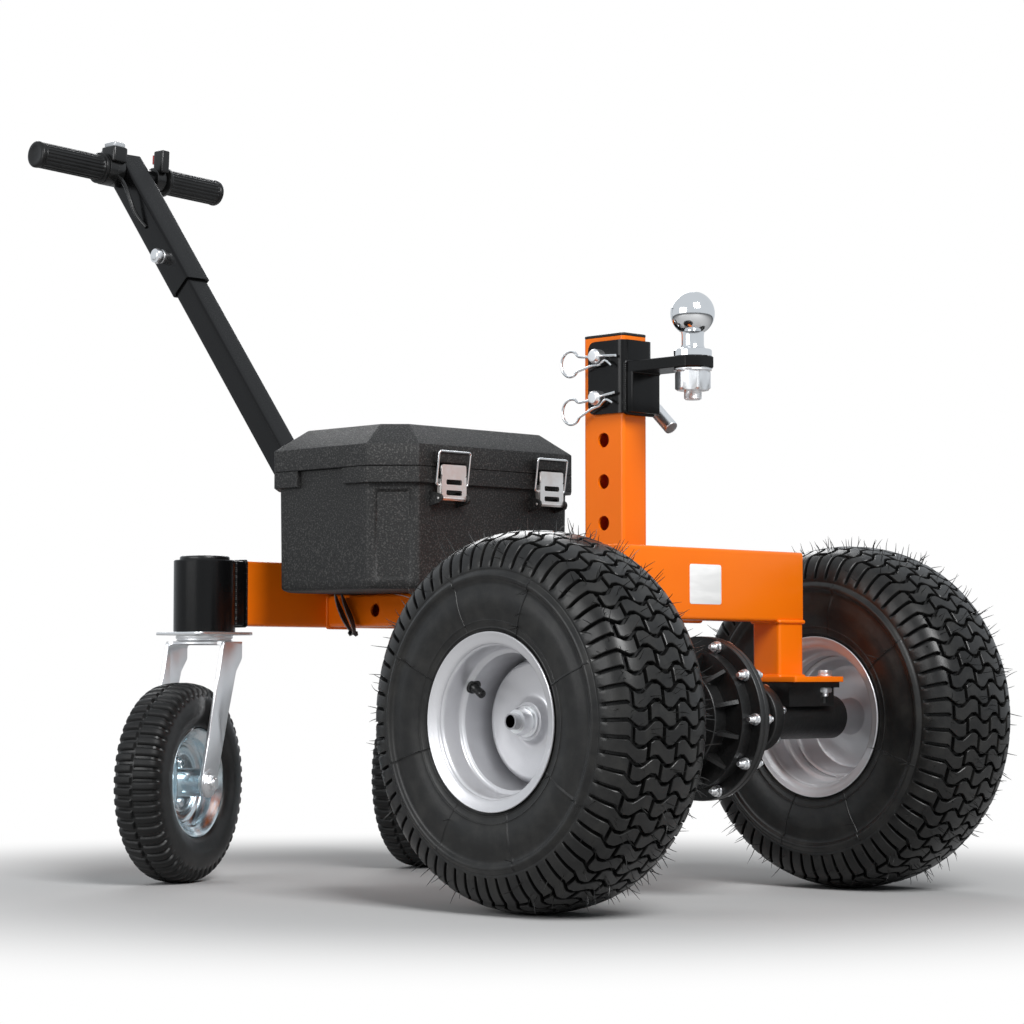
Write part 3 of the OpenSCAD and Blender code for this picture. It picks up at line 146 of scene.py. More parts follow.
class Sheet:
    """The node tree of a material or of the world, and the few nodes that are drawn with."""

    def __init__(self, name: str, world: bool = False) -> None:
        """Make an empty tree.

        Args:
            name: the name of the material or world.
            world: whether it is the world's.
        """
        self.owner = (bpy.data.worlds if world else bpy.data.materials).new(name)
        self.owner.use_nodes = True
        self.tree = self.owner.node_tree
        self.tree.nodes.clear()
        self.end = "ShaderNodeOutputWorld" if world else "ShaderNodeOutputMaterial"

    def node(self, kind: str, settings: dict[str, Any] | None = None,
             sockets: dict[Any, Any] | None = None, output: Any = 0) -> Signal:
        """Add any node.

        Args:
            kind: the node's type.
            settings: its properties, which are set first.
            sockets: its inputs by name or number, as values or signals.
            output: the output to hand back, by name or number.

        Returns:
            The chosen output.
        """
        node = self.tree.nodes.new(kind)
        for key, value in (settings or {}).items():
            setattr(node, key, value)
        for key, value in (sockets or {}).items():
            if isinstance(value, Signal):
                self.tree.links.new(value.socket, node.inputs[key])
            else:
                node.inputs[key].default_value = value
        return Signal(self, node.outputs[output])

    def place(self, stretch: Point = (1.0, 1.0, 1.0)) -> Signal:
        """Object coordinates, stretched along each axis.

        Args:
            stretch: how far the pattern is squeezed along each axis.

        Returns:
            The coordinates.
        """
        where = self.node("ShaderNodeTexCoord", output="Object")
        if stretch == (1.0, 1.0, 1.0):
            return where
        return self.node("ShaderNodeMapping", {}, {"Vector": where, "Scale": stretch})

    def noise(self, scale: float, detail: float = 2.0, rough: float = 0.5, where: Signal | None = None) -> Signal:
        """Cloudy noise from zero to one."""
        sockets = {"Vector": where or self.place(), "Scale": scale, "Detail": detail, "Roughness": rough}
        return self.node("ShaderNodeTexNoise", {}, sockets)

    def cells(self, scale: float, where: Signal | None = None) -> Signal:
        """Distance to the nearest of scattered points."""
        return self.node("ShaderNodeTexVoronoi", {}, {"Vector": where or self.place(), "Scale": scale})

    def value(self, name: str) -> Signal:
        """A piece's own per-point number."""
        return self.node("ShaderNodeAttribute", {"attribute_name": name}, {}, "Fac")

    def blend(self, share: Any, first: Any, second: Any) -> Signal:
        """Mix two colours.

        Args:
            share: how much of the second colour shows.
            first: the first colour.
            second: the second colour.

        Returns:
            The mixed colour.
        """
        def as_colour(value: Any) -> Any:
            """Four numbers for a plain colour, and a signal as it is."""
            return value if isinstance(value, Signal) else (*value, 1.0)
        sockets = {0: share, 6: as_colour(first), 7: as_colour(second)}
        return self.node("ShaderNodeMix", {"data_type": "RGBA"}, sockets, 2)

    def bump(self, height: Signal, depth: float, strength: float = 1.0) -> Signal:
        """A normal from a height, with the depth in metres."""
        return self.node("ShaderNodeBump", {}, {"Height": height, "Distance": depth, "Strength": strength})

    def finish(self, **sockets: Any) -> Material:
        """Add the shader and the output.

        Args:
            sockets: the shader's inputs, with an underscore for each space.

        Returns:
            The finished material.
        """
        named = {key.replace("_", " "): value for key, value in sockets.items()}
        self.node_output(self.node("ShaderNodeBsdfPrincipled", {}, named))
        return self.owner

    def node_output(self, shader: Signal) -> None:
        """Join a shader to the tree's output."""
        out = self.tree.nodes.new(self.end)
        self.tree.links.new(shader.socket, out.inputs["Surface"])


# ---- finishes


def grey(tone: float) -> Colour:
    """A colour with three equal parts."""
    return tone, tone, tone


def toned(colour: Colour, times: float, plus: float = 0.0) -> Colour:
    """A colour with each part multiplied, then raised."""
    return tuple(times * part + plus for part in colour)


@dataclass(frozen=True)
class Finish:
    """What every finish has: a name, the slot that it fills and a main colour."""

    name: str
    slot: str
    colour: Colour

    def paint(self) -> Material:
        """Make the material."""
        raise NotImplementedError


@dataclass(frozen=True)
class PowderCoat(Finish):
    """Baked powder paint: an even gloss over a faint orange-peel skin."""

    deep: Colour = grey(0.0)
    gloss: float = 0.3
    peel: float = 0.00012
    coat: float = 0.35
    shine: float = 0.5

    def paint(self) -> Material:
        """Clouded colour, specks of dust and a peel that catches the light.

        Returns:
            The material.
        """
        sheet = Sheet(self.name)
        cloud = sheet.noise(7.0, 3.0, 0.6)
        dust = sheet.noise(160.0, 4.0, 0.7).between(0.62, 0.8)
        base = sheet.blend(cloud.between(0.3, 0.75) * 0.7, self.colour, self.deep)
        dusty = toned(self.colour, 0.9, 0.02)
        base = sheet.blend(dust * 0.16, base, dusty)
        rough = self.gloss + 0.1 * sheet.noise(45.0, 3.0) - 0.05 + 0.12 * dust
        skin = sheet.noise(420.0, 2.0, 0.45) + 0.35 * sheet.noise(1500.0, 1.0)
        return sheet.finish(Base_Color=base, Roughness=rough, Coat_Weight=self.coat, Coat_Roughness=0.16,
                            Specular_IOR_Level=self.shine, Normal=sheet.bump(skin, self.peel, 0.5))


@dataclass(frozen=True)
class Rubber(Finish):
    """Vulcanised rubber, darker where its depth value is high, which is painted shade down in the drive tyre's
    grooves.
    """

    worn: Colour = grey(0.06)
    gloss: float = 0.46
    grain: float = 0.00012

    def paint(self) -> Material:
        """Dusty crowns, painted shade in the grooves and a fine moulded grain.

        Returns:
            The material.
        """
        sheet = Sheet(self.name)
        depth = sheet.value("depth")
        dust = sheet.noise(38.0, 4.0, 0.65).between(0.35, 0.75)
        base = sheet.blend(dust * (1.0 - depth), self.colour, self.worn)
        # Painted shade: the colour darkens with the depth value, which is high down in the drive tyre's grooves.
        base = sheet.blend(depth * 0.85, base, toned(self.colour, 0.3))
        rough = self.gloss + 0.22 * depth + 0.14 * sheet.noise(90.0, 3.0) - 0.07
        grain = sheet.noise(900.0, 3.0, 0.6) + 0.6 * sheet.noise(170.0, 2.0)
        return sheet.finish(Base_Color=base, Roughness=rough, Specular_IOR_Level=0.34,
                            Normal=sheet.bump(grain, self.grain, 0.6))


@dataclass(frozen=True)
class Metal(Finish):
    """Bare or plated metal with faint blotches and rubbing marks."""

    second: Colour = grey(0.5)
    gloss: float = 0.3
    spread: float = 0.16
    blotch: float = 55.0
    scratch: Point = (1.0, 1.0, 1.0)
    relief: float = 0.00004

    def paint(self) -> Material:
        """Two tones in blotches, with the roughness following them.

        Returns:
            The material.
        """
        sheet = Sheet(self.name)
        blot = sheet.noise(self.blotch, 4.0, 0.6).between(0.3, 0.7)
        spangle = sheet.cells(self.blotch * 5.0)
        lines = sheet.noise(420.0, 2.0, 0.6, sheet.place(self.scratch))
        base = sheet.blend(blot * 0.75 + spangle * 0.2, self.colour, self.second)
        rough = self.gloss + self.spread * (blot * 0.6 + lines * 0.4) - self.spread * 0.4
        return sheet.finish(Base_Color=base, Metallic=1.0, Roughness=rough,
                            Normal=sheet.bump(lines + spangle * 0.5, self.relief, 0.5))


@dataclass(frozen=True)
class SilverPaint(Finish):
    """Silver wheel paint with a fine flake."""

    flake: Colour = (0.8, 0.8, 0.82)

    def paint(self) -> Material:
        """A grey base with bright flakes and a little dust.

        Returns:
            The material.
        """
        sheet = Sheet(self.name)
        flakes = sheet.cells(2600.0)
        cloud = sheet.noise(24.0, 3.0, 0.6)
        base = sheet.blend((1.0 - flakes) * 0.35, self.colour, self.flake)
        base = sheet.blend(cloud.between(0.5, 0.8) * 0.2, base, toned(self.colour, 0.6))
        rough = 0.3 + 0.12 * sheet.noise(70.0, 3.0)
        return sheet.finish(Base_Color=base, Metallic=0.55, Roughness=rough, Coat_Weight=0.25,
                            Coat_Roughness=0.12, Normal=sheet.bump(flakes, 0.00002, 0.5))


@dataclass(frozen=True)
class CastIron(Finish):
    """Painted casting with a sandy skin."""

    bare: Colour = grey(0.1)

    def paint(self) -> Material:
        """Sand grain under a thin satin black.

        Returns:
            The material.
        """
        sheet = Sheet(self.name)
        sand = sheet.noise(260.0, 4.0, 0.65)
        lumps = sheet.noise(60.0, 2.0)
        base = sheet.blend(sand.between(0.5, 0.8) * 0.5, self.colour, self.bare)
        rough = 0.38 + 0.25 * sand - 0.1
        return sheet.finish(Base_Color=base, Roughness=rough, Coat_Weight=0.2, Coat_Roughness=0.25,
                            Normal=sheet.bump(sand + lumps * 0.6, 0.0006, 0.6))


@dataclass(frozen=True)
class Pebbled(Finish):
    """Moulded plastic with a pebbled skin, painted pale on the pebbles' tops as a painted highlight."""

    pebble_top_highlight: Colour = grey(0.12)
    pebble: float = 520.0
    relief: float = 0.0005

    def paint(self) -> Material:
        """Pebbles from two noises, painted pale on their tops as a painted highlight.

        Returns:
            The material.
        """
        sheet = Sheet(self.name)
        pebbles = sheet.noise(self.pebble, 2.0, 0.55)
        grain = sheet.cells(self.pebble * 1.3)
        tops = pebbles.between(0.5, 0.68)
        cloud = sheet.noise(9.0, 2.0)
        # Painted highlight: the tops of the pebbles are painted pale.
        base = sheet.blend(tops * (0.35 + 0.5 * cloud), self.colour, self.pebble_top_highlight)
        rough = 0.5 + 0.2 * grain - 0.06 * tops
        return sheet.finish(Base_Color=base, Roughness=rough,
                            Normal=sheet.bump(pebbles + grain * 0.4, self.relief, 0.65))


@dataclass(frozen=True)
class Moulded(Finish):
    """Smooth moulded plastic with faint flow marks."""

    gloss: float = 0.36
    coat: float = 0.0
    relief: float = 0.00006

    def paint(self) -> Material:
        """Long flow marks and a very fine spark-eroded grain.

        Returns:
            The material.
        """
        sheet = Sheet(self.name)
        flow = sheet.noise(30.0, 3.0, 0.6, sheet.place((1.0, 0.35, 1.6)))
        grain = sheet.noise(1400.0, 2.0)
        base = sheet.blend(flow.between(0.35, 0.75) * 0.5, self.colour, toned(self.colour, 1.6, 0.002))
        rough = self.gloss + 0.14 * flow - 0.05
        return sheet.finish(Base_Color=base, Roughness=rough, Coat_Weight=self.coat, Coat_Roughness=0.08,
                            Normal=sheet.bump(grain + flow * 0.5, self.relief, 0.5))


@dataclass(frozen=True)
class Webbing(Finish):
    """Woven strap: ribs along and across its own surface."""

    thread: Colour = grey(0.08)

    def paint(self) -> Material:
        """Bands along two axes of the strap's own grid, and a painted highlight along both edges.

        Returns:
            The material.
        """
        sheet = Sheet(self.name)
        along = sheet.value("along")
        across = sheet.value("across")
        ribs = along.maths("SINE", along * 260.0)
        rows = across.maths("SINE", across * 60.0)
        weave = ribs * rows * 0.5 + 0.5
        base = sheet.blend(weave, self.colour, self.thread)
        # Painted highlight: the strap is painted pale along both edges.
        edge_highlight = across.maths("ABSOLUTE", across).between(7.3, 8.1)
        base = sheet.blend(edge_highlight, base, (0.3, 0.29, 0.28))
        return sheet.finish(Base_Color=base, Roughness=0.55 + 0.2 * weave,
                            Normal=sheet.bump(weave, 0.0003, 0.6))


FINISHES: tuple[Finish, ...] = (
    PowderCoat("orange_powder", "orange_paint", (1.0, 0.2, 0.002), (0.98, 0.175, 0.001), 0.34, 0.00008, 0.08, 0.3),
    PowderCoat("satin_black_powder", "black_steel", (0.0035, 0.0035, 0.0038), grey(0.002), 0.24, 0.00006, 0.06, 0.22),
    Rubber("drive_tyre_rubber", "tyre_rubber", grey(0.009), (0.023, 0.0225, 0.021), 0.32),
    Rubber("caster_tyre_rubber", "tyre_rubber", grey(0.009), grey(0.02), 0.33),
    Rubber("grip_rubber", "grip_rubber", grey(0.006), grey(0.012), 0.32, 0.0001),
    SilverPaint("silver_rim_paint", "rim_paint", (0.62, 0.62, 0.64)),
    Metal("bluish_zinc", "caster_rim_zinc", (0.62, 0.76, 0.82), (0.86, 0.88, 0.9), 0.2, 0.14),
    Metal("bright_zinc", "zinc_steel", (0.95, 0.95, 0.96), (0.89, 0.9, 0.91), 0.32, 0.1, 18.0),
    Metal("polished_chrome", "chrome_steel", (0.9, 0.91, 0.92), (0.86, 0.87, 0.88), 0.08, 0.04, 30.0,
          relief=0.000004),
    Metal("machined_steel", "gear_steel", (0.5, 0.5, 0.51), (0.4, 0.4, 0.41), 0.32, 0.2, 60.0, (1.0, 12.0, 1.0)),
    Metal("weathered_stainless", "zinc_steel", (0.96, 0.94, 0.92), (0.85, 0.78, 0.74), 0.36, 0.16, 50.0,
          (1.0, 0.2, 3.0)),
    CastIron("black_casting", "cast_iron", grey(0.006), grey(0.025)),
    CastIron("motor_paint", "motor_paint", (0.02, 0.021, 0.024), (0.07, 0.07, 0.075)),
    Pebbled("pebbled_black_plastic", "box_plastic", grey(0.003), (0.078, 0.076, 0.073)),
    Moulded("smooth_black_plastic", "black_plastic", grey(0.006), 0.24),
    Moulded("red_plastic", "red_plastic", (0.55, 0.02, 0.015), 0.3, 0.3),
    Moulded("battery_case_plastic", "battery_case", (0.035, 0.037, 0.045), 0.42),
    Moulded("gauge_lens", "black_plastic", (0.42, 0.44, 0.46), 0.12, 0.6, 0.00001),
    Moulded("blank_label_vinyl", "black_plastic", (0.84, 0.84, 0.83), 0.34, 0.2, 0.00003),
    Metal("controller_aluminium", "controller_case", (0.5, 0.51, 0.53), (0.42, 0.43, 0.45), 0.36, 0.14, 60.0,
          (1.0, 6.0, 1.0)),
    Webbing("strap_webbing", "black_plastic", grey(0.012)),
)


class Finishes:
    """Every finish on the tug, painted once each, and the slots that they fill."""

    def __init__(self) -> None:
        """Paint them all."""
        self.materials = {finish.name: finish.paint() for finish in FINISHES}
        self.slots = {finish.name: finish.slot for finish in FINISHES}


# ---- surfaces


def unit(vector: Array) -> Array:
    """Vectors scaled to length one along the last axis."""
    return vector / np.maximum(np.linalg.norm(vector, axis=-1, keepdims=True), 1e-12)


@dataclass(frozen=True)
class Datum:
    """A local set of axes: local Z runs along axis and local X near side."""

    origin: Point = (0.0, 0.0, 0.0)
    axis: Point = UP
    side: Point = AHEAD

    def put(self, points: Array) -> Array:
        """Local points carried into the tug's frame.

        Args:
            points: points on the local axes.

        Returns:
            The same points in the tug's frame.
        """
        z = unit(np.array(self.axis, float))
        x = np.array(self.side, float)
        x = unit(x - (x @ z) * z)
        return np.array(self.origin, float) + points @ np.array([x, np.cross(z, x), z])


def flow(points: Line, per_span: int = 8) -> Array:
    """A smooth line through points.

    Each span is the Catmull-Rom cubic: the value at share t is half of the sum of the
    four neighbours weighted by cubics in t.

    Args:
        points: the points it passes through.
        per_span: samples in each span.

    Returns:
        The sampled line.
    """
    p = np.array(points, float)
    p = np.vstack([2 * p[0] - p[1], p, 2 * p[-1] - p[-2]])
    t = np.arange(per_span)[:, None] / per_span
    a, b, c, d = (p[i:len(p) - 3 + i, None] for i in range(4))
    line = 0.5 * (2 * b + (c - a) * t + (2 * a - 5 * b + 4 * c - d) * t ** 2 + (3 * b - a - 3 * c + d) * t ** 3)
    return np.vstack([line.reshape(-1, p.shape[1]), p[-2:-1]])


def rounded(before: Array, corner: Array, after: Array, radius: float, steps: int) -> Array:
    """Corners made quadratic curves between two points at the bend's tangent length.

    The weights of start, corner and end are (1 - t) squared, 2t(1 - t) and t squared.

    Args:
        before: the point before each corner.
        corner: the corners.
        after: the point after each.
        radius: the bends' radius.
        steps: samples in each bend.

    Returns:
        One curve for each corner.
    """
    back, ahead = unit(before - corner), unit(after - corner)
    half = np.arccos(np.clip((back * ahead).sum(1), -1, 1)) / 2
    room = 0.49 * np.minimum(np.linalg.norm(before - corner, axis=1), np.linalg.norm(after - corner, axis=1))
    reach = np.minimum(radius / np.tan(half), room)[:, None]
    start, end = corner + back * reach, corner + ahead * reach
    t = np.linspace(0, 1, steps)[None, :, None]
    return (1 - t) ** 2 * start[:, None] + 2 * t * (1 - t) * corner[:, None] + t ** 2 * end[:, None]


def bent(corners: Line, radius: float, steps: int = 8) -> Array:
    """A path of straights through corners, joined by rounded bends."""
    p = np.array(corners, float)
    curve = rounded(p[:-2], p[1:-1], p[2:], radius, steps)
    return np.vstack([p[:1], curve.reshape(-1, p.shape[1]), p[-1:]])


def run_of(line: Array) -> Array:
    """The distance along a line at each of its points."""
    return np.concatenate([[0.0], np.cumsum(np.linalg.norm(np.diff(line, axis=0), axis=1))])


def even(path: Array, step: float, closed: bool = False) -> Array:
    """A path resampled at even steps along its length.

    Args:
        path: the line's points.
        step: about how far apart the samples lie.
        closed: whether the line runs round to its start.

    Returns:
        The samples.
    """
    line = np.vstack([path, path[:1]]) if closed else path
    run = run_of(line)
    count = max(3, int(round(run[-1] / step)))
    at = np.linspace(0, run[-1], count, endpoint=not closed)
    return np.stack([np.interp(at, run, line[:, k]) for k in range(line.shape[1])], axis=1)


def mirrored(half: Line, flip: Sequence[float] = (1, -1), shared: int = 0) -> Array:
    """A half outline and its mirror image, last point first; shared ones aren't repeated."""
    return np.vstack([half, np.array(half, float)[::-1][shared:] * flip])


def round_turns(steps: int) -> Array:
    """Even turns round a circle, its end left out."""
    return np.linspace(0, 2 * np.pi, steps, endpoint=False)


def spun(radius: Array, turn: Array, height: Array) -> Array:
    """Points about local Z: x = r cos, y = r sin, z = height."""
    return np.stack([radius * np.cos(turn), radius * np.sin(turn), height + 0 * turn], axis=-1)


def arc(middle: Pair, radius: float, turn: Array) -> Array:
    """An arc's points: the middle plus the radius times each turn's cosine and sine."""
    return np.column_stack([middle[0] + radius * np.cos(turn), middle[1] + radius * np.sin(turn)])


def lathe(profile: Line, steps: int = 96) -> Array:
    """A profile of (radius, height) turned about local Z."""
    line = np.array(profile, float)
    return spun(line[:, :1], round_turns(steps)[None], line[:, 1:])


def bush(bore: float, radius: float, low: float, high: float, ease: Pair) -> Array:
    """A washer's or bush's profile with eased outer corners.

    Args:
        bore: the hole's radius.
        radius: the outer radius.
        low: the lower face.
        high: the upper face.
        ease: how far the corners are cut, along the radius and along the height.

    Returns:
        The profile of (radius, height).
    """
    flat, rise = radius - ease[0], ease[1]
    return np.array([(bore, low), (flat, low), (radius, low + rise), (radius, high - rise), (flat, high),
                     (bore, high)])


def sweep(path: Array, section: Array, up: Point, closed: bool = False) -> Array:
    """A section carried along a path.

    The section's first axis is up made square to the path, and its second is the
    cross product of the path's direction with it.

    Args:
        path: points along the middle.
        section: one outline, or one for each point of the path.
        up: a direction never along the path.
        closed: whether the path runs round to its start.

    Returns:
        One ring of points for each point of the path.
    """
    if closed:
        ahead = np.roll(path, -1, axis=0) - np.roll(path, 1, axis=0)
    else:
        ahead = np.gradient(path, axis=0)
    ahead = unit(ahead)
    rise = np.array(up, float) - (ahead @ np.array(up, float))[:, None] * ahead
    rise = unit(rise)
    across = np.cross(ahead, rise)
    rings = np.broadcast_to(section, (len(path), *section.shape[-2:]))
    return path[:, None] + rings[..., :1] * rise[:, None] + rings[..., 1:] * across[:, None]


def disc(radius: float, steps: int = 16) -> Array:
    """A round outline."""
    return arc((0.0, 0.0), radius, round_turns(steps))


def turned(points: Array, angle: float) -> Array:
    """Points of a plane turned counter-clockwise by an angle."""
    return points @ np.array([[math.cos(angle), math.sin(angle)], [-math.sin(angle), math.cos(angle)]])


def soft_polygon(corners: Line, radius: float, per_corner: int = 5, per_side: int = 2) -> Array:
    """A closed outline with rounded corners and evenly divided sides.

    Args:
        corners: the polygon's corners in order.
        radius: the corners' rounding.
        per_corner: samples in each corner.
        per_side: samples in each side, its ends not counted.

    Returns:
        The outline's points.
    """
    p = np.array(corners, float)
    curve = rounded(np.roll(p, 1, axis=0), p, np.roll(p, -1, axis=0), radius, per_corner)
    s = (np.arange(1, per_side + 1) / (per_side + 1))[None, :, None]
    side = curve[:, -1:] * (1 - s) + np.roll(curve[:, :1], -1, axis=0) * s
    return np.concatenate([curve, side], axis=1).reshape(-1, 2)


def rectangle(half_x: float, half_y: float) -> Array:
    """A rectangle's four corners, counter-clockwise."""
    return np.array([[half_x, -half_y], [half_x, half_y], [-half_x, half_y], [-half_x, -half_y]])


def octagon(half_x: float, half_y: float, cut: float) -> Array:
    """A rectangle's eight corners where each is cut off, counter-clockwise."""
    x, y = half_x, half_y
    return np.array([[x, -y + cut], [x, y - cut], [x - cut, y], [-x + cut, y],
                     [-x, y - cut], [-x, -y + cut], [-x + cut, -y], [x - cut, -y]])


def stack(rings: Sequence[tuple[Array, float]]) -> Array:
    """Outlines set at their heights, as one grid."""
    return np.stack([np.column_stack([ring, np.full(len(ring), z)]) for ring, z in rings])


def eased_plate(outline: Array, levels: Sequence[Pair]) -> Array:
    """A plate whose outline is drawn in towards its middle by an inset at each height."""
    away = unit(outline - outline.mean(0))
    return stack([(outline - away * inset, z) for inset, z in levels])


def soft_block(half: Pair, low: float, high: float, corner: float, edge: float, per_side: int = 1) -> Array:
    """A block with rounded corners and edges.

    Towards each end the outline shrinks by edge times (1 - cos a) while the height
    runs on by edge times sin a.

    Args:
        half: half sizes along local X and Y.
        low: the lower face.
        high: the upper face.
        corner: rounding of the upright edges.
        edge: rounding of the top and bottom edges.
        per_side: samples in each side.

    Returns:
        The grid of rings.
    """
    turns = np.linspace(np.pi / 2, 0, 4)
    insets = [edge * (1 - math.cos(a)) for a in turns]
    lows = [low + edge * (1 - math.sin(a)) for a in turns]
    levels = list(zip(insets, lows)) + [(i, low + high - z) for i, z in reversed(list(zip(insets, lows)))]
    return stack([(soft_polygon(rectangle(half[0] - i, half[1] - i), max(corner - i, 0.2), 5, per_side), z)
                  for i, z in levels])


def hexagon(flat: float, height: float, crown: float = 0.18, steps: int = 48) -> Array:
    """A nut or bolt head: the smaller of a hexagon and a cone at each height.

    The hexagon's radius is its flat over the cosine of the turn from the flat's middle.

    Args:
        flat: half the distance across the flats.
        height: how far it stands up local Z.
        crown: share of the height that the corners' chamfer takes.
        steps: samples round it.

    Returns:
        The grid of rings.
    """
    turn = round_turns(steps)
    six = flat / np.cos((turn + np.pi / 6) % (np.pi / 3) - np.pi / 6)
    heights = np.array([0.0, crown, 1 - crown, 1.0])[:, None] * height
    limit = np.array([1.0, 1.16, 1.16, 1.0])[:, None] * flat
    return spun(np.minimum(six, limit), turn, heights)


def threaded(radius: float, length: float, pitch: float = 1.75, steps: int = 24) -> Array:
    """A threaded rod: the radius dips with the share of a turn plus height over pitch.

    Args:
        radius: the thread's outer radius.
        length: the rod's length.
        pitch: the rise of the thread in one turn.
        steps: samples round it.

    Returns:
        The grid of rings.
    """
    turn = round_turns(steps)[None]
    z = np.linspace(0, length, max(4, int(length / pitch * 4)))[:, None]
    wave = np.abs(((z / pitch - turn / (2 * np.pi)) % 1) - 0.5) * 2
    ends = np.clip(np.minimum(z, length - z) / 0.8, 0.85, 1)
    return spun((radius - 0.5 * pitch * wave * 0.6) * ends, turn, z)


def tube(path: Line, radius: float, steps: int = 16, up: Point = UP) -> Array:
    """A round rod along a path that never runs along up."""
    return sweep(np.array(path, float), disc(radius, steps), up)


def hollow(half: Pair, wall: float, corner: float, low: float, high: float) -> Array:
    """A rectangular tube with rounded edges, as rows that run round from outside to inside.

    Args:
        half: half sizes along local X and Y.
        wall: the tube's thickness.
        corner: rounding of its edges.
        low: the lower end.
        high: the upper end.

    Returns:
        The grid, whose rows run round.
    """
    def ring(inset: float, z: float) -> tuple[Array, float]:
        """The outline set in by a distance, at one height."""
        return soft_polygon(rectangle(half[0] - inset, half[1] - inset), max(corner - inset, 0.5), 6, 3), z
    return stack([ring(0.4, low), ring(0, low + 0.4), ring(0, high - 0.4), ring(0.4, high),
                  ring(wall - 0.3, high), ring(wall, high - 0.4), ring(wall, low + 0.4), ring(wall - 0.3, low)])


def bead(path: Array, radius: float, up: Point, closed: bool = False) -> Array:
    """A weld bead whose radius swells with the absolute sine of its run, once for each pool."""
    line = even(path, 0.7, closed)
    pools = np.abs(np.sin(np.arange(len(line)) * 0.7 * np.pi / 2.3))
    return sweep(line, disc(1.0, 8)[None] * (radius * (0.82 + 0.2 * pools))[:, None, None], up, closed)


def pierced(outer: Array, inner: Array, thick: float) -> Array:
    """A plate with one opening: four loops with equal counts, to be added with the rows running round."""
    return stack([(outer, 0.0), (outer, thick), (inner, thick), (inner, 0.0)])


def drilled_walls(half: Pair, wall: float, corner: float, span: Pair,
                  holes: Sequence[float], radius: float, reach: float) -> list[tuple[Array, bool]]:
    """A rectangular tube whose two walls across local Y carry round holes.

    The two other walls are C-shaped with rounded edges. Each drilled wall is a row of
    slabs, and each hole's edge lies at its radius along the line from the hole's middle
    to the slab's outline.

    Args:
        half: half sizes along local X and Y.
        wall: the tube's thickness.
        corner: rounding of the tube's edges.
        span: the tube's lower and upper ends.
        holes: heights of the hole middles, in rising order.
        radius: the holes' radius.
        reach: half the height of a slab that has a hole.

    Returns:
        Each grid, and whether its rows run round.
    """
    grids = []
    x, y = half
    edge = arc((x - corner, corner - y), corner, np.linspace(-np.pi / 2, 0, 7))
    inner = mirrored([(x - corner, y - wall), (x - wall, y - corner)])
    for way in (1.0, -1.0):
        ring = np.vstack([mirrored(edge), inner]) * [way, 1]
        grids.append((stack([(ring, span[0]), (ring, span[1])]), False))
    cuts = [span[0]] + [h for z in holes for h in (max(z - reach, span[0]), min(z + reach, span[1]))] + [span[1]]
    for low, high in zip(cuts[:-1], cuts[1:]):
        if high - low < 0.01:
            continue
        inside = [z for z in holes if low < z < high]
        slab = soft_polygon([(corner - x, low), (x - corner, low), (x - corner, high), (corner - x, high)],
                            0.02, 2, 9)
        spot, size = ([0.0, inside[0]], radius) if inside else ([0.0, (low + high) / 2], 0.01)
        grid = pierced(slab, spot + size * unit(slab - spot), wall)
        for way in (1.0, -1.0):
            grids.append((np.stack([grid[..., 0], way * (y - grid[..., 2]), grid[..., 1]], axis=-1), True))
    return grids


def flat_loop(half_a: float, half_b: float) -> Array:
    """A flat rounded loop in the local XY plane, for a bead to follow."""
    ring = soft_polygon(rectangle(half_a, half_b), 2.5, 5, 8)
    return np.column_stack([ring, 0 * ring[:, 0]])


class Shell:
    """Gathers closed grids of points into one mesh."""

    def __init__(self) -> None:
        """Start empty."""
        self.points: list[Array] = []
        self.faces: list[list[int]] = []
        self.values: dict[str, list[Array]] = {"depth": [], "along": [], "across": []}
        self.count = 0

    def many(self, points: Array, ring: bool = False, **values: Array) -> "Shell":
        """Add several grids of one shape.

        Args:
            points: piece, row, column and coordinate; columns run round.
            ring: whether the rows run round too; otherwise both ends are capped.
            values: per-point numbers, one for each point.

        Returns:
            The shell, for the next call.
        """
        pieces, rows, cols = points.shape[:3]
        index = self.count + np.arange(pieces * rows * cols).reshape(pieces, rows, cols)
        index = np.concatenate([index, index[:, :, :1]], axis=2)
        if ring:
            index = np.concatenate([index, index[:, :1]], axis=1)
        quads = np.stack([index[:, :-1, :-1], index[:, :-1, 1:], index[:, 1:, 1:], index[:, 1:, :-1]], -1)
        self.faces += quads.reshape(-1, 4).tolist()
        if not ring:
            self.faces += index[:, 0, :-1][:, ::-1].tolist() + index[:, -1, :-1].tolist()
        self.points.append(points.reshape(-1, 3))
        for name, kept in self.values.items():
            kept.append(np.broadcast_to(values.get(name, 0.0), (pieces, rows, cols)).ravel())
        self.count += pieces * rows * cols
        return self

    def add(self, grid: Array, datum: Datum = Datum(), ring: bool = False, **values: Array) -> "Shell":
        """Add one grid, carried into the tug's frame by a datum."""
        return self.many(datum.put(grid)[None], ring, **values)

    def build(self, name: str, finish: Material, crease: float) -> bpy.types.Object:
        """Make the mesh and its object.

        Args:
            name: the piece's name.
            finish: its material.
            crease: edges sharper than this angle in degrees stay sharp.

        Returns:
            The new object, at the origin.
        """
        mesh = bpy.data.meshes.new(name)
        mesh.from_pydata((np.concatenate(self.points) * MM).tolist(), [], self.faces)
        for key, kept in self.values.items():
            numbers = np.concatenate(kept).astype(np.float32)
            if numbers.any():
                mesh.attributes.new(key, "FLOAT", "POINT").data.foreach_set("value", numbers)
        work = bmesh.new()
        work.from_mesh(mesh)
        bmesh.ops.recalc_face_normals(work, faces=work.faces[:])
        work.to_mesh(mesh)
        work.free()
        mesh.polygons.foreach_set("use_smooth", np.ones(len(mesh.polygons), bool))
        mesh.set_sharp_from_angle(angle=math.radians(crease))
        mesh.materials.append(finish)
        piece = bpy.data.objects.new(name, mesh)
        bpy.context.scene.collection.objects.link(piece)
        return piece


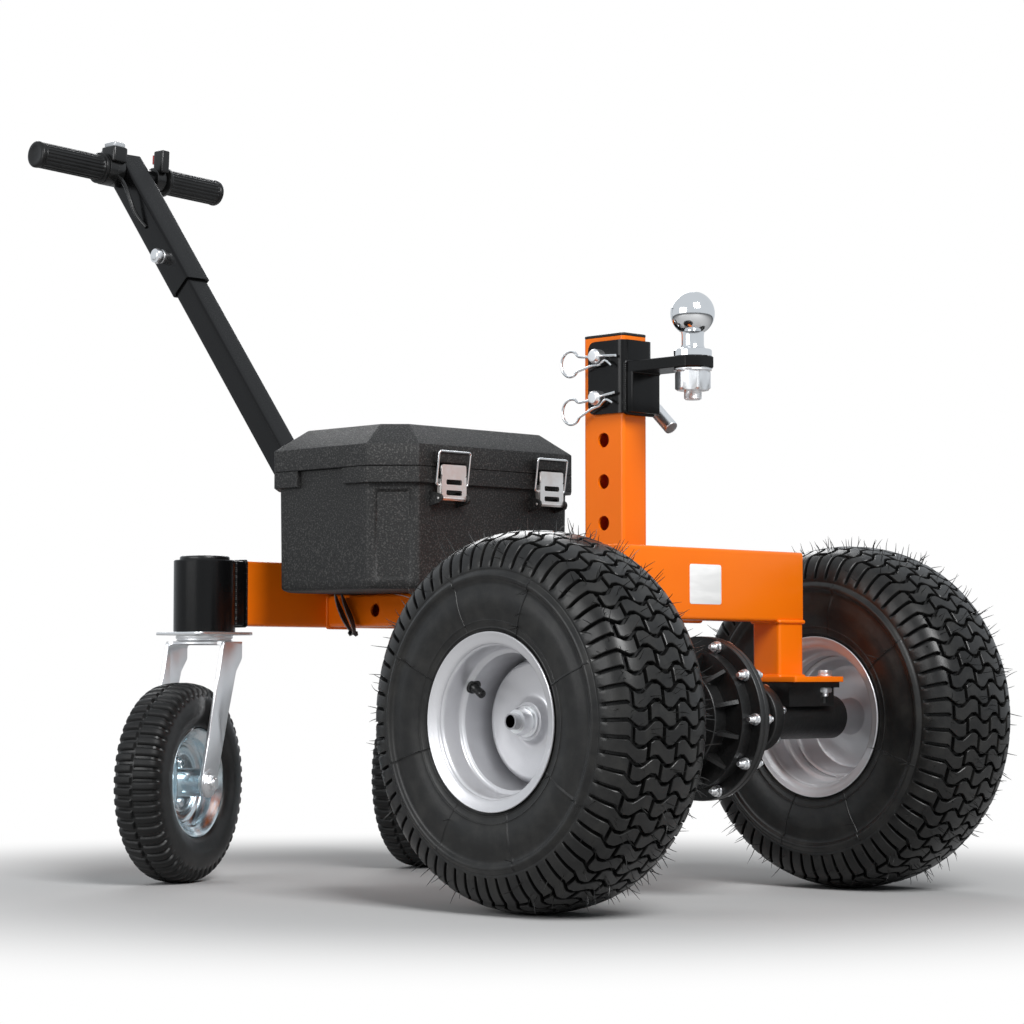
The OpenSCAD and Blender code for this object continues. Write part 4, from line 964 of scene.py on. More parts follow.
class Bench:
    """Finishes new pieces, sets them on their bodies and reports them."""

    def __init__(self, finishes: Finishes) -> None:
        """Keep the finishes and count the faces."""
        self.finishes = finishes
        self.triangles = 0

    def fit(self, shell: Shell, name: str, finish: str, body: str, replaces: Sequence[str] = (),
            crease: float = 35.0) -> bpy.types.Object:
        """Build a shell and set it on a body.

        Args:
            shell: the gathered surfaces.
            name: the piece's name.
            finish: the finish's name.
            body: the CAD body that it rides on.
            replaces: CAD nodes that it stands for.
            crease: edges sharper than this angle stay sharp.

        Returns:
            The piece.
        """
        piece = shell.build(name, self.finishes.materials[finish], crease)
        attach(piece, body)
        if replaces:
            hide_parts(*replaces)
        piece.data.calc_loop_triangles()
        count = len(piece.data.loop_triangles)
        self.triangles += count
        log.info("%s: %d triangles on %s", name, count, body)
        return piece

    def dress(self, nodes: dict[str, bpy.types.Object], finish: str, names: Sequence[str]) -> None:
        """Give carried-over CAD nodes a finish.

        Args:
            nodes: the CAD nodes by name.
            finish: the finish's name.
            names: the nodes to dress.
        """
        for name in names:
            node = nodes[name]
            node.data.materials.clear()
            node.data.materials.append(self.finishes.materials[finish])


@dataclass
class SubAssembly:
    """A part of the tug, and the bench where its pieces are finished."""

    bench: Bench


# ---- drive wheels


@dataclass
class DriveWheel(SubAssembly):
    """One turf wheel: tyre with its lugs and moulding hairs, dished rim, nut.

    Distances across the tread are runs along the section from its crown.
    """

    side: Side
    track: float = 500.0
    axle_z: float = 190.5
    tyre_r: float = 190.5
    rows: int = 66
    lug_depth: float = 7.0
    joint: float = 35.0
    zigzag: float = 4.4
    zigzag_end: float = 61.0
    tread_end: float = 87.6
    seam_every: int = 8
    seam_height: float = 0.7
    seam_r: float = 96.0
    hairs: int = 500
    hair_end: float = 80.0
    hair_floor: float = 18.0
    hair_length: Pair = (7.0, 16.0)

    @property
    def datum(self) -> Datum:
        """The wheel's centre, with local Z outward along the axle."""
        return Datum((0.0, self.side.value * self.track / 2, self.axle_z), self.side.out)

    def crown(self) -> tuple[Array, Array]:
        """The tyre's outer half section and the run along it from the crown.

        Returns:
            The section as (radius, outward distance), and the run at each point.
        """
        half = flow([(190.5, 0), (190.1, 14), (188.4, 28), (185.4, 40), (181, 50), (175.2, 57.2), (168, 62),
                     (159, 65.3), (152, 66.6), (149.4, 66.5), (147.2, 68.3), (144.6, 70), (141.8, 69.6),
                     (139.4, 67.6), (136, 66.9), (130, 67.6), (122, 68.6), (112, 68.2), (101.5, 66.2), (100, 66.6),
                     (98.5, 65.4), (94, 64.4), (92.5, 64.6), (91, 63.2), (86, 61.2), (79, 57)], 10)
        return half, run_of(half)

    def skin(self, at: Array) -> Array:
        """The section's radius and outward distance at runs from the crown, inboard mirrored."""
        half, run = self.crown()
        return np.stack([np.interp(np.abs(at), run, half[:, 0]),
                         np.interp(np.abs(at), run, half[:, 1]) * np.sign(at)], axis=1)

    def across(self) -> tuple[Array, Array]:
        """Stations along the outer section and which joint each lies in.

        Returns:
            The run of each station from the crown, negative inboard, and the depth
            that the joints of even and odd rows have there.
        """
        lips = np.array([-2.9, -2.1, -1.5, 1.5, 2.1, 2.9])
        dips = np.array([0.0, 0.08, 1.0, 1.0, 0.08, 0.0])
        joints = np.arange(-3, 4) * self.joint / 2
        plain = np.concatenate([joints[:-1] + self.joint / 4 + d for d in (-3.0, 3.0)])
        edge = np.array([57.5, 62, 67, 72, 77, 82, 86.0, self.tread_end])
        plain = np.concatenate([plain, edge, -edge])
        run = np.append(joints[:, None] + lips, plain)
        odd = np.arange(len(joints)) % 2
        depth = np.stack([np.append(np.outer(share, dips), 0 * plain) for share in (odd, 1 - odd)])
        order = np.argsort(run)
        return run[order], depth[:, order]

    def tyre(self) -> tuple[Shell, Array, Array]:
        """The tyre as one closed ring of rows and stations.

        The tread is a bond of lugs. A lug is as long as a row less its groove, and
        every row's line is shifted round the tyre by a clipped triangle wave of the
        run across it, so that neighbouring lugs interlock. Joints between lugs stand
        half a brick apart in alternate rows.

        Returns:
            The shell, and places and directions where hairs can stand.
        """
        run = self.crown()[1]
        stations, joints = self.across()
        wall = np.append(run[run > self.tread_end + 0.5][::2], run[-1])
        full = np.concatenate([-wall[::-1], stations, wall])
        even_dip, odd_dip = (np.pad(dip, len(wall))[:, None] for dip in joints)
        reach = np.abs(full)[:, None]
        section = self.skin(full)
        slope = self.skin(full + 1) - self.skin(full - 1)
        normal = unit(slope[:, ::-1] * [1, -1])
        pitch = 2 * np.pi * self.tyre_r / self.rows
        lips = np.array([-2.9, -2.2, -1.6, 1.6, 2.2, 2.9, pitch * 0.36, pitch * 0.64])
        dips = np.array([0.0, 0.08, 1.0, 1.0, 0.08, 0.0, 0.0, 0.0])
        rows = np.arange(self.rows)[:, None]
        around = (rows * pitch + lips).ravel()
        row = (rows + np.where(np.arange(len(lips)) < 3, -1, 0)).ravel()
        inner = np.clip(full, -self.zigzag_end, self.zigzag_end)
        wave = np.abs(((inner / self.joint + 0.25) % 1) * 2 - 1) * 2 - 1
        shift = self.zigzag * np.clip(1.7 * wave, -1, 1)
        zone = np.clip((self.tread_end - 1.6 - reach) / 1.6, 0, 1)
        depth = np.maximum(np.tile(dips, self.rows) * zone, np.where(row % 2 == 0, even_dip, odd_dip))
        deep = self.lug_depth * np.interp(reach, [0, 55, 66, self.tread_end - 1], [1, 1, 0.95, 0.7])
        on_line = (row % self.seam_every == 3) & (np.arange(len(row)) % len(lips) == 2)
        seam = on_line & (reach > self.tread_end + 2)
        sink = depth * deep - self.seam_height * seam
        angle = (around + shift[:, None]) / self.tyre_r
        outer = spun(section[:, :1] - normal[:, :1] * sink, angle, section[:, 1:] - normal[:, 1:] * sink)
        liner = flow(mirrored([(80, 50), (95, 57), (124, 60.5), (150, 59), (168, 50), (178, 34), (181.5, 14)]), 2)
        grid = np.concatenate([outer, spun(liner[:, :1], angle[-1], liner[:, 1:])])
        # Painted shade down in the grooves, and darker moulding seams, carried by the depth value.
        groove_shade_and_seams = np.concatenate([np.maximum(depth, seam), np.zeros((len(liner), len(around)))])
        shell = Shell().add(grid, self.datum, ring=True, depth=groove_shade_and_seams[None])
        tops = ((depth < 0.01) & (reach < self.hair_end)) | (seam & (section[:, :1] > self.seam_r))
        out = spun(normal[:, :1], angle, normal[:, 1:])[tops]
        return shell, self.datum.put(outer)[tops], self.datum.put(out) - np.array(self.datum.origin)

    def hair_tufts(self, place: Array, out: Array) -> Shell:
        """Moulding hairs: thin three-sided rods that lean and bend from the lugs.

        A hair's middle line is its root plus its length times the share along it
        in its own direction, plus a bend times the share squared.

        Args:
            place: points where a hair can stand.
            out: the surface's direction at each.

        Returns:
            The shell of all hairs.
        """
        random = np.random.default_rng(SEED + self.side.value)
        picked = random.choice(len(place), self.hairs * 2, replace=False)
        picked = picked[place[picked, 2] > self.hair_floor][: self.hairs]
        root, lean = place[picked], out[picked]
        count = len(picked)
        length = random.uniform(*self.hair_length, (count, 1))
        lean = unit(lean + random.normal(0, 0.24, (count, 3)))
        bend = random.normal(0, 0.13, (count, 3)) * length
        share = np.array([-0.08, 0.35, 0.7, 1.0])[None, :, None]
        middle = root[:, None] + lean[:, None] * length[:, None] * share + bend[:, None] * share ** 2
        first = unit(np.cross(lean, [0.3, 0.2, 0.9]))
        second = np.cross(lean, first)
        thick = np.array([0.55, 0.45, 0.34, 0.14])[None, :, None, None]
        around = disc(1.0, 3)
        rim = around[None, None, :, :1] * first[:, None, None] + around[None, None, :, 1:] * second[:, None, None]
        return Shell().many(middle[:, :, None] + rim * thick)

    def rim(self) -> Shell:
        """The pressed rim: barrel with rolled flanges and well, and the dished disc.

        Returns:
            The shell.
        """
        bore = flow([(86.4, 64.9), (88.3, 65.6), (88.9, 64.2), (87.2, 62.2), (81.5, 60.4), (77.2, 58.8), (74.6, 55.5),
                     (73.6, 48), (73.2, 38.5), (71.6, 35.2), (68.6, 33.2), (67.8, 29), (67.8, 0)], 6)
        back = flow(mirrored([(84.5, -63.8), (80, -62.2), (77, -60), (76.3, -54), (76.2, -40), (76.2, 0)],
                             shared=1), 3)
        shell = Shell().add(lathe(np.vstack([mirrored(bore, shared=1), back]), 128), self.datum, ring=True)
        face = flow([(69.4, -18.5), (66.8, -16.5), (64.6, -9), (61.6, 0.5), (57.6, 4.9), (52, 4.6), (40, 3),
                     (29, 2.4), (24, 3.4), (21, 7), (19.4, 11.8), (17.4, 12.2), (13.2, 12)], 5)
        rear = flow([(13.2, -31), (18.8, -31), (19.2, -28), (19.4, -4), (24, -0.6), (40, 0), (55, 1.8),
                     (58.4, -1.2), (61.6, -10.5), (63.4, -18.5), (67, -21.4)], 5)
        return shell.add(lathe(np.vstack([face, rear]), 128), self.datum, ring=True)

    def valve(self) -> Shell:
        """The valve's rubber foot in its hole, and the short stem with its cap.

        Returns:
            The shell.
        """
        away = arc((0.0, 0.0), 1.0, np.array([math.radians(150.0)]))
        foot = self.datum.put(np.column_stack([67.4 * away, [29.0]]))[0]
        tip = self.datum.put(np.column_stack([45 * away, [31.0]]))[0]
        datum = Datum(tuple(foot), tuple(tip - foot))
        base = flow([(0.5, 0.4), (5.6, 0.6), (7.8, -0.2), (8.2, -2), (7, -3)], 4)
        stem = flow([(5.6, 0), (5.2, 2), (4.4, 5), (4.1, 8), (3.9, 10)], 4)
        cap = flow([(4.4, 9), (4.5, 10), (4.4, 14), (3.8, 15.4), (0.6, 15.8)], 4)
        return Shell().add(lathe(base[::-1], 24), datum).add(lathe(stem, 24), datum).add(lathe(cap, 24), datum)

    def nut(self) -> Shell:
        """The axle's washer, chamfered nut and threaded end.

        Returns:
            The shell.
        """
        washer = lathe(bush(8, 15.9, 12.1, 15, (0.7, 0.6)), 64)
        shell = Shell().add(washer, self.datum, ring=True)
        shell.add(hexagon(12.0, 12.6) + [0, 0, 15.0], self.datum)
        return shell.add(threaded(7.9, 24) + [0, 0, 12.0], self.datum)

    def build(self) -> None:
        """Make the wheel's pieces."""
        word = self.side.word
        body = f"{word}_wheel"
        shell, place, out = self.tyre()
        self.bench.fit(shell, f"{word}_turf_tyre", "drive_tyre_rubber", body, [f"{word}_drive_tyre"], 32)
        self.bench.fit(self.hair_tufts(place, out), f"{word}_tyre_hairs", "drive_tyre_rubber", body)
        self.bench.fit(self.rim(), f"{word}_dished_rim", "silver_rim_paint", body, [f"{word}_drive_rim"], 40)
        self.bench.fit(self.valve(), f"{word}_tyre_valve", "smooth_black_plastic", body)
        self.bench.fit(self.nut(), f"{word}_axle_nut", "bright_zinc", body, [f"{word}_wheel_nut"])


# ---- frame


@dataclass
class Frame(SubAssembly):
    """The welded frame: rounded tubes, weld beads, caps, bolts and the blank label."""

    rear_x: float = -605.0
    beam: Triple = (19.0, 145.0, 38.0)
    beam_mid: float = 332.5
    wall: float = 3.0
    corner: float = 4.0
    spine_half: float = 19.0
    strap_hole: Triple = (-500.0, 8.0, 14.0)
    post: Triple = (-126.0, 30.0, 19.0)
    post_top: float = 606.0
    holes: tuple[float, ...] = (402.0, 447.5, 493.0, 538.5, 584.0)
    pin_hole: Pair = (8.2, 15.0)
    leg_y: float = 124.5
    leg_z: Pair = (235.0, 294.5)
    foot: float = 6.0
    swivel_y: float = 192.0

    def crossbeam(self, x: float) -> Shell:
        """One closed beam across the tug."""
        datum = Datum((x, 0.0, self.beam_mid), LEFTWARD)
        half_x, half_y, half_z = self.beam
        return Shell().add(soft_block((half_x, half_z), -half_y, half_y, self.corner, 1.0, 2), datum)

    def spine(self) -> None:
        """The spine tube with its strap hole."""
        span = (self.rear_x + self.beam[0], -self.beam[0])
        datum = Datum((0.0, 0.0, self.beam_mid - self.spine_half), AHEAD, UP)
        half = (self.spine_half, self.spine_half)
        hole, radius, reach = self.strap_hole
        shell = Shell()
        for grid, ring in drilled_walls(half, self.wall, self.corner, span, [hole], radius, reach):
            shell.add(grid, datum, ring=ring)
        self.bench.fit(shell, "spine_rounded_tube", "orange_powder", "chassis", ["spine_tube"])

    def hitch_post(self) -> None:
        """The upright post with its five pin holes, and the cap on top."""
        x, half_x, half_y = self.post
        at = Datum((x, 0.0, 0.0))
        shell = Shell()
        span = (self.beam_mid, self.post_top)
        for grid, ring in drilled_walls((half_x, half_y), self.wall, self.corner, span, self.holes, *self.pin_hole):
            shell.add(grid, at, ring=ring)
        self.bench.fit(shell, "hitch_post_rounded_tube", "orange_powder", "chassis", ["hitch_post"])
        top = self.post_top
        cap = Shell().add(soft_block((half_x, half_y), top, top + 3.5, 4.0, 1.2, 2), at)
        cap.add(soft_block((half_x - 3.4, half_y - 3.4), top - 14, top + 1, 2.0, 0.6, 2), at)
        rim = flow([(29, 370.5), (29, 373.6), (27.6, 375.2), (25, 375.6), (23, 374.7), (6, 374.3)], 4)
        for side in Side:
            cap.add(lathe(rim, 64), Datum((self.rear_x, side.value * self.swivel_y, 0.0)))
        self.bench.fit(cap, "moulded_end_caps", "smooth_black_plastic", "chassis", ["end_caps"])

    def legs(self) -> None:
        """Two short legs and their foot plates."""
        shell = Shell()
        low, high = self.leg_z
        for side in Side:
            datum = Datum((0.0, side.value * self.leg_y, 0.0))
            shell.add(hollow((19.0, 20.5), self.wall, self.corner, low, high), datum, ring=True)
            plate = soft_block((45.0, 41.5), low - self.foot, low, 3.0, 0.8, 2)
            shell.add(plate, Datum((0.0, side.value * (self.leg_y + 17.0), 0.0)))
        self.bench.fit(shell, "rounded_axle_legs", "orange_powder", "chassis", ["axle_legs"])

    def orange_beads(self) -> None:
        """Welds where the tubes of the frame meet."""
        shell = Shell()
        places = [(Datum((self.post[0], 0.0, self.beam_mid)), 30.6, 19.6, 2.6)]
        for x in (-self.beam[0], self.rear_x + self.beam[0]):
            places.append((Datum((x, 0.0, self.beam_mid - 19), AHEAD, LEFTWARD), 19.4, 19.4, 2.4))
        for side in Side:
            for z in reversed(self.leg_z):
                places.append((Datum((0.0, side.value * self.leg_y, z)), 19.5, 21.0, 2.3))
        for datum, half_a, half_b, radius in places:
            shell.add(bead(flat_loop(half_a, half_b), radius, UP, True), datum, ring=True)
        self.bench.fit(shell, "frame_weld_beads", "orange_powder", "chassis", crease=60)

    def heads(self) -> None:
        """The two caster heads with their connecting blocks and beads."""
        shell = Shell()
        for side in Side:
            y = side.value * self.swivel_y
            wall = [(31, 286.5), (35.2, 286.5), (36, 287.4), (36, 369.4), (35, 370.5), (20, 370.5)]
            inner = [(20, 365.5), (31, 365.5)]
            shell.add(lathe(wall + inner, 96), Datum((self.rear_x, y, 0.0)), ring=True)
            low, high = sorted(side.value * end for end in (145.2, 164.0))
            block = soft_block((self.beam[0], self.beam[2]), low, high, 3.0, 0.8, 2)
            shell.add(block, Datum((self.rear_x, 0.0, self.beam_mid), LEFTWARD))
            for x in (-19.3, 19.3):
                line = np.array([(self.rear_x + x, side.value * 161.2, z) for z in (295.5, 330, 369.5)])
                shell.add(bead(line, 2.4, AHEAD))
            at = Datum((self.rear_x, side.value * 145.1, self.beam_mid), LEFTWARD)
            shell.add(bead(flat_loop(19.2, 38.2), 2.0, UP, True), at, ring=True)
        self.bench.fit(shell, "welded_caster_heads", "satin_black_powder", "chassis", ["caster_heads"])

    def bolts(self) -> None:
        """Bolts with washers and nuts through the foot plates, and the box's two."""
        shell = Shell()
        for side in Side:
            for x, y in ((30.0, 168.0), (-30.0, 113.0)):
                at = Datum((x, side.value * y, self.leg_z[0]))
                shell.add(lathe(bush(4.2, 8.6, 0, 1.5, (0.3, 0.4)), 40), at, ring=True)
                shell.add(hexagon(6.5, 5.3) + [0, 0, 1.5], at)
                shell.add(hexagon(6.5, 5.6) + [0, 0, -17.6], at)
                shell.add(threaded(3.95, 23.6, 1.25, 20) + [0, 0, -22.0], at)
        for x in (-483.0, -384.0):
            at = Datum((x, 0.0, 336.5))
            shell.add(hexagon(6.5, 5.3), at).add(threaded(3.95, 21.6, 1.25, 20) + [0, 0, -21.5], at)
        self.bench.fit(shell, "frame_hex_bolts", "bright_zinc", "chassis", ["frame_bolts"])

    def build(self) -> None:
        """Make the frame's pieces."""
        for word, x in (("front", 0.0), ("rear", self.rear_x)):
            beam = self.crossbeam(x)
            self.bench.fit(beam, f"{word}_rounded_beam", "orange_powder", "chassis", [f"{word}_crossbeam"])
        self.legs()
        self.spine()
        self.hitch_post()
        self.orange_beads()
        self.heads()
        self.bolts()
        label = soft_block((25.0, 21.0), 0.0, 0.35, 3.0, 0.12, 2)
        at = Datum((19.0, -16.0, 332.0), AHEAD, LEFTWARD)
        self.bench.fit(Shell().add(label, at), "blank_label", "blank_label_vinyl", "chassis")


# ---- hitch


@dataclass
class Hitch(SubAssembly):
    """The ball and its nut, the bent pins with their hairpin clips, and the mount's welds."""

    post_x: float = -126.0
    pins: Pair = (584.0, 538.5)
    ball_x: float = -12.0
    ball_r: float = 23.8
    bar_top: float = 576.5
    pin_r: float = 7.95
    clip_y: float = -30.4
    bend: Pair = (-99.6, -15.4)
    channel: tuple[Pair, ...] = ((24.4, 9.0), (19.4, 4.0))

    def ball(self) -> None:
        """A turned ball on its neck and flange; z = rise + R sin a, r = R cos a."""
        low = [(9.5, -26), (9.5, 0), (20, 0.0), (20.5, 0.6), (20.5, 6.6), (19.6, 7.8), (15, 8.4), (12.8, 10),
               (12, 13), (12, 23)]
        top = [(8.6, 69.2), (8.0, 69.1), (1.0, 69.1)]
        profile = np.vstack([low, arc((0.0, 47.0), self.ball_r, np.linspace(-1.02, 1.18, 26)), top])
        shell = Shell().add(lathe(profile, 128), Datum((self.ball_x, 0.0, self.bar_top)))
        self.bench.fit(shell, "chrome_hitch_ball", "polished_chrome", "chassis", ["hitch_ball"])

    def ball_nut(self) -> None:
        """The split lock washer, the thick nut and the thread below it."""
        datum = Datum((self.ball_x, 0.0, self.bar_top - 12))
        washer = flow([(10, -0.2), (19.4, -0.2), (20.2, -1.4), (19.4, -2.9), (10, -2.9)], 4)
        shell = Shell().add(lathe(washer, 64), datum, ring=True)
        shell.add(hexagon(16.9, 21.0, 0.1, 96) + [0, 0, -24.0], datum)
        shell.add(threaded(9.7, 13.0, 2.0, 40) + [0, 0, -34.0], datum)
        self.bench.fit(shell, "ball_lock_nut", "bright_zinc", "chassis", ["ball_nut"])

    def pin(self, shell: Shell, z: float, lean: float) -> None:
        """A pin with its tapered nose, its bend and its tail, which leans forward by an angle.

        Args:
            shell: the shell that it is added to.
            z: the pin's height.
            lean: how far its tail leans, in degrees.
        """
        x = self.post_x
        hang = np.array([math.sin(math.radians(lean)), 0.0, -math.cos(math.radians(lean))])
        end = np.array([x, 56.4, z]) + 42.5 * hang
        line = bent([(x, -33.4, z), (x, 56.4, z), tuple(end)], 14, 14)
        shell.add(tube(line, self.pin_r, 32, (hang[2], 0.0, -hang[0])))
        nose = flow([(self.pin_r, -0.2), (7.9, 0.6), (6.4, 3.4), (5.2, 3.9), (0.6, 4.0)], 4)
        shell.add(lathe(nose, 32), Datum((x, -33.4, z), (0.0, -1.0, 0.0)))
        tail = flow([(self.pin_r, -0.2), (7.7, 0.8), (6.8, 1.2), (0.6, 1.3)], 3)
        shell.add(lathe(tail, 32), Datum(tuple(end), tuple(hang), LEFTWARD))

    def clip(self, shell: Shell, z: float, droop: float) -> None:
        """A hairpin clip of one wire: a leg through the pin, a round loop and a waved leg below.

        Args:
            shell: the shell that it is added to.
            z: the clip's height.
            droop: how far it hangs down, in degrees.
        """
        loop = arc((-39.0, -5.5), 14.0, np.linspace(0.6, 5.6, 12))
        leg = [(29.0, -1.0), (10, 0.0), (-10, 0.2), (-20, 0.9)]
        back = [(-19, -12.4), (-10, -10.4), (-2, -9.7), (4, -9.4), (10, -6.2), (15, -6.0), (23, -11.6)]
        x, rise = turned(flow(np.vstack([leg, loop, back]), 5), math.radians(droop)).T
        line = np.column_stack([self.post_x + x, 0 * x + self.clip_y, z + rise])
        shell.add(tube(line, 1.5, 14, LEFTWARD))

    def mount(self) -> None:
        """The bent channel, the pad and the ball bar."""
        turn = np.linspace(-np.pi / 2, 0, 8)
        rows = []
        for z in (521.0, 521.7, 523.6, 526.6, 530.0, 592.0, 595.4, 598.4, 600.3, 601.0):
            near = 9.0 - min(z - 521.0, 601.0 - z, 9.0)
            back = -144.0 + 9.0 - math.sqrt(81.0 - near * near)
            outside, inside = (mirrored(np.vstack([[(back, -y)], arc(self.bend, radius, turn)]))
                               for y, radius in self.channel)
            rows.append((np.vstack([outside, inside[::-1]]), z))
        shell = Shell().add(stack(rows))
        shell.add(soft_block((5.8, 22.0), 521.0, 565.5, 1.5, 0.8, 2), Datum((-85.4, 0.0, 0.0)))
        bar = mirrored([(-92, -22), (-3, -22), (8, -11)])
        rings = []
        for inset, drop in ((0.8, 12.0), (0.1, 11.2), (0.1, 0.8), (0.8, 0.0)):
            flat = bar - np.sign(bar - [-42, 0]) * inset
            rings.append((soft_polygon(flat, 1.5, 5, 2), self.bar_top - drop))
        shell.add(stack(rings))
        self.bench.fit(shell, "hitch_channel_and_bar", "satin_black_powder", "chassis", ["hitch_mount"])

    def beads(self) -> None:
        """Welds round the pad and the bar's root."""
        at = Datum((-90.2, 0.0, 548.7), AHEAD, LEFTWARD)
        shell = Shell().add(bead(flat_loop(22.4, 27.9), 2.6, UP, True), at, ring=True)
        line = np.array([(-79.4, y, 564.9) for y in (-20.5, 0.0, 20.5)])
        shell.add(bead(line, 2.0, UP))
        self.bench.fit(shell, "hitch_weld_beads", "satin_black_powder", "chassis", crease=60)

    def build(self) -> None:
        """Make the hitch's pieces."""
        self.ball()
        self.ball_nut()
        pins = Shell()
        clips = Shell()
        for z, lean, droop in zip(self.pins, (0.0, 47.0), (0.0, 11.0)):
            self.pin(pins, z, lean)
            self.clip(clips, z, droop)
        self.bench.fit(pins, "bent_hitch_pins", "bright_zinc", "chassis", ["hitch_pins"])
        self.bench.fit(clips, "hairpin_clips", "polished_chrome", "chassis", ["hitch_clips"], 60)
        self.mount()
        self.beads()


# ---- drive unit


@dataclass
class DriveUnit(SubAssembly):
    """What shows on the gearcase, its neck clamps and the motor."""

    axle_z: float = 190.5
    motor_x: float = -81.25
    bolt_circle: float = 80.25
    bolts: int = 9
    ribs: int = 12
    neck_bolts: int = 6
    neck_circle: float = 32.5
    neck_face: float = 92.0
    cooling_rings: int = 9

    def studs(self) -> None:
        """Long studs round the flange with a washer and a nut at each side."""
        shell = Shell()
        turns = np.radians(np.linspace(-140, 140, self.bolts))
        washer = [(3, 7.1), (6.4, 7.1), (6.4, 8.3), (3, 8.3)]
        for x, z in arc((0.0, self.axle_z), self.bolt_circle, turns):
            shell.add(threaded(2.95, 38, 1.0, 16) + [0, 0, -19.0], Datum((x, 0.0, z), LEFTWARD))
            for side in Side:
                at = Datum((x, 0.0, z), side.out)
                shell.add(lathe(washer, 24), at, ring=True).add(hexagon(5.0, 5.2, 0.2, 36) + [0, 0, 8.3], at)
        self.bench.fit(shell, "gearcase_studs", "bright_zinc", "chassis", ["gearcase_bolts"])

    def castings(self) -> None:
        """Webs between the flange and the drum, rings on the drum and the neck clamps."""
        rings = (
            ([(51.6, 38), (53.4, 38.6), (54, 40), (53.2, 41.2), (51.4, 41.4)], [(50, 41.2), (50, 38.2)], 96),
            ([(33.6, 76.2), (36.4, 77), (37, 80), (37, 88), (36.4, 91), (33.6, 91.8)], [(32, 91.6), (32, 76.4)], 96),
            ([(85.6, 0.4), (86.9, 1.4), (86.9, 5.8), (85.6, 6.9)], [(84, 6.8), (84, 0.5)], 128))
        web = np.array([(50, 20.5), (72.5, 20.5), (71, 22.8), (55.2, 39.4), (50, 40.6)])
        shell = Shell()
        for side in Side:
            at = Datum((0.0, 0.0, self.axle_z), side.out)
            for turn in round_turns(self.ribs) + math.pi / self.ribs:
                away = np.array([math.cos(turn), math.sin(turn)])
                beside = np.array([-math.sin(turn), math.cos(turn)])
                walls = np.stack([np.column_stack([web[:, :1] * away + t * beside, web[:, 1:]])
                                  for t in (-2.2, -1.7, 1.7, 2.2)])
                shell.add(walls, at)
            for skin, bore, steps in rings:
                shell.add(lathe(np.vstack([flow(skin, 4), bore]), steps), at, ring=True)
        self.bench.fit(shell, "gearcase_webs", "black_casting", "chassis")

    def clamp_bolts(self) -> None:
        """Cross bolts with nuts that draw each neck clamp together, a quarter step round."""
        shell = Shell()
        turn = 0.5 * math.pi / self.neck_bolts
        for side in Side:
            for x, z in arc((0.0, self.axle_z), self.neck_circle, round_turns(self.neck_bolts) + turn):
                at = Datum((x, side.value * self.neck_face, z), side.out)
                shell.add(hexagon(4.0, 4.0, 0.2, 36) + [0, 0, -0.2], at)
        self.bench.fit(shell, "neck_clamp_bolts", "bright_zinc", "chassis")

    def motor(self) -> None:
        """The motor's end bells, cooling rings and brush cover."""
        datum = Datum((self.motor_x, -41.3, self.axle_z), (0.0, -1.0, 0.0))
        skin = [(8.2, 0.2), (44, 0.2), (45, 1.4), (45, 13), (44.2, 14), (44.2, 16), (45, 17)]
        for k in range(self.cooling_rings):
            start = 22 + 8 * k
            skin += [(45, start), (43.6, start + 1), (43.6, start + 3), (45, start + 4)]
        skin += [(45, 96), (44.2, 97), (44.2, 99), (45, 100), (45, 110), (43.8, 111.8), (24, 112), (22.5, 113.5),
                 (22.2, 115.6), (21, 116), (8.2, 116)]
        inner = [(8.2, 106), (34, 104), (34, 8), (8.2, 6)]
        shell = Shell().add(lathe(skin + inner, 96), datum, ring=True)
        self.bench.fit(shell, "ringed_motor_case", "motor_paint", "chassis", ["motor_case"], 30)

    def build(self) -> None:
        """Make the drive unit's pieces."""
        self.studs()
        self.castings()
        self.clamp_bolts()
        self.motor()


# ---- casters


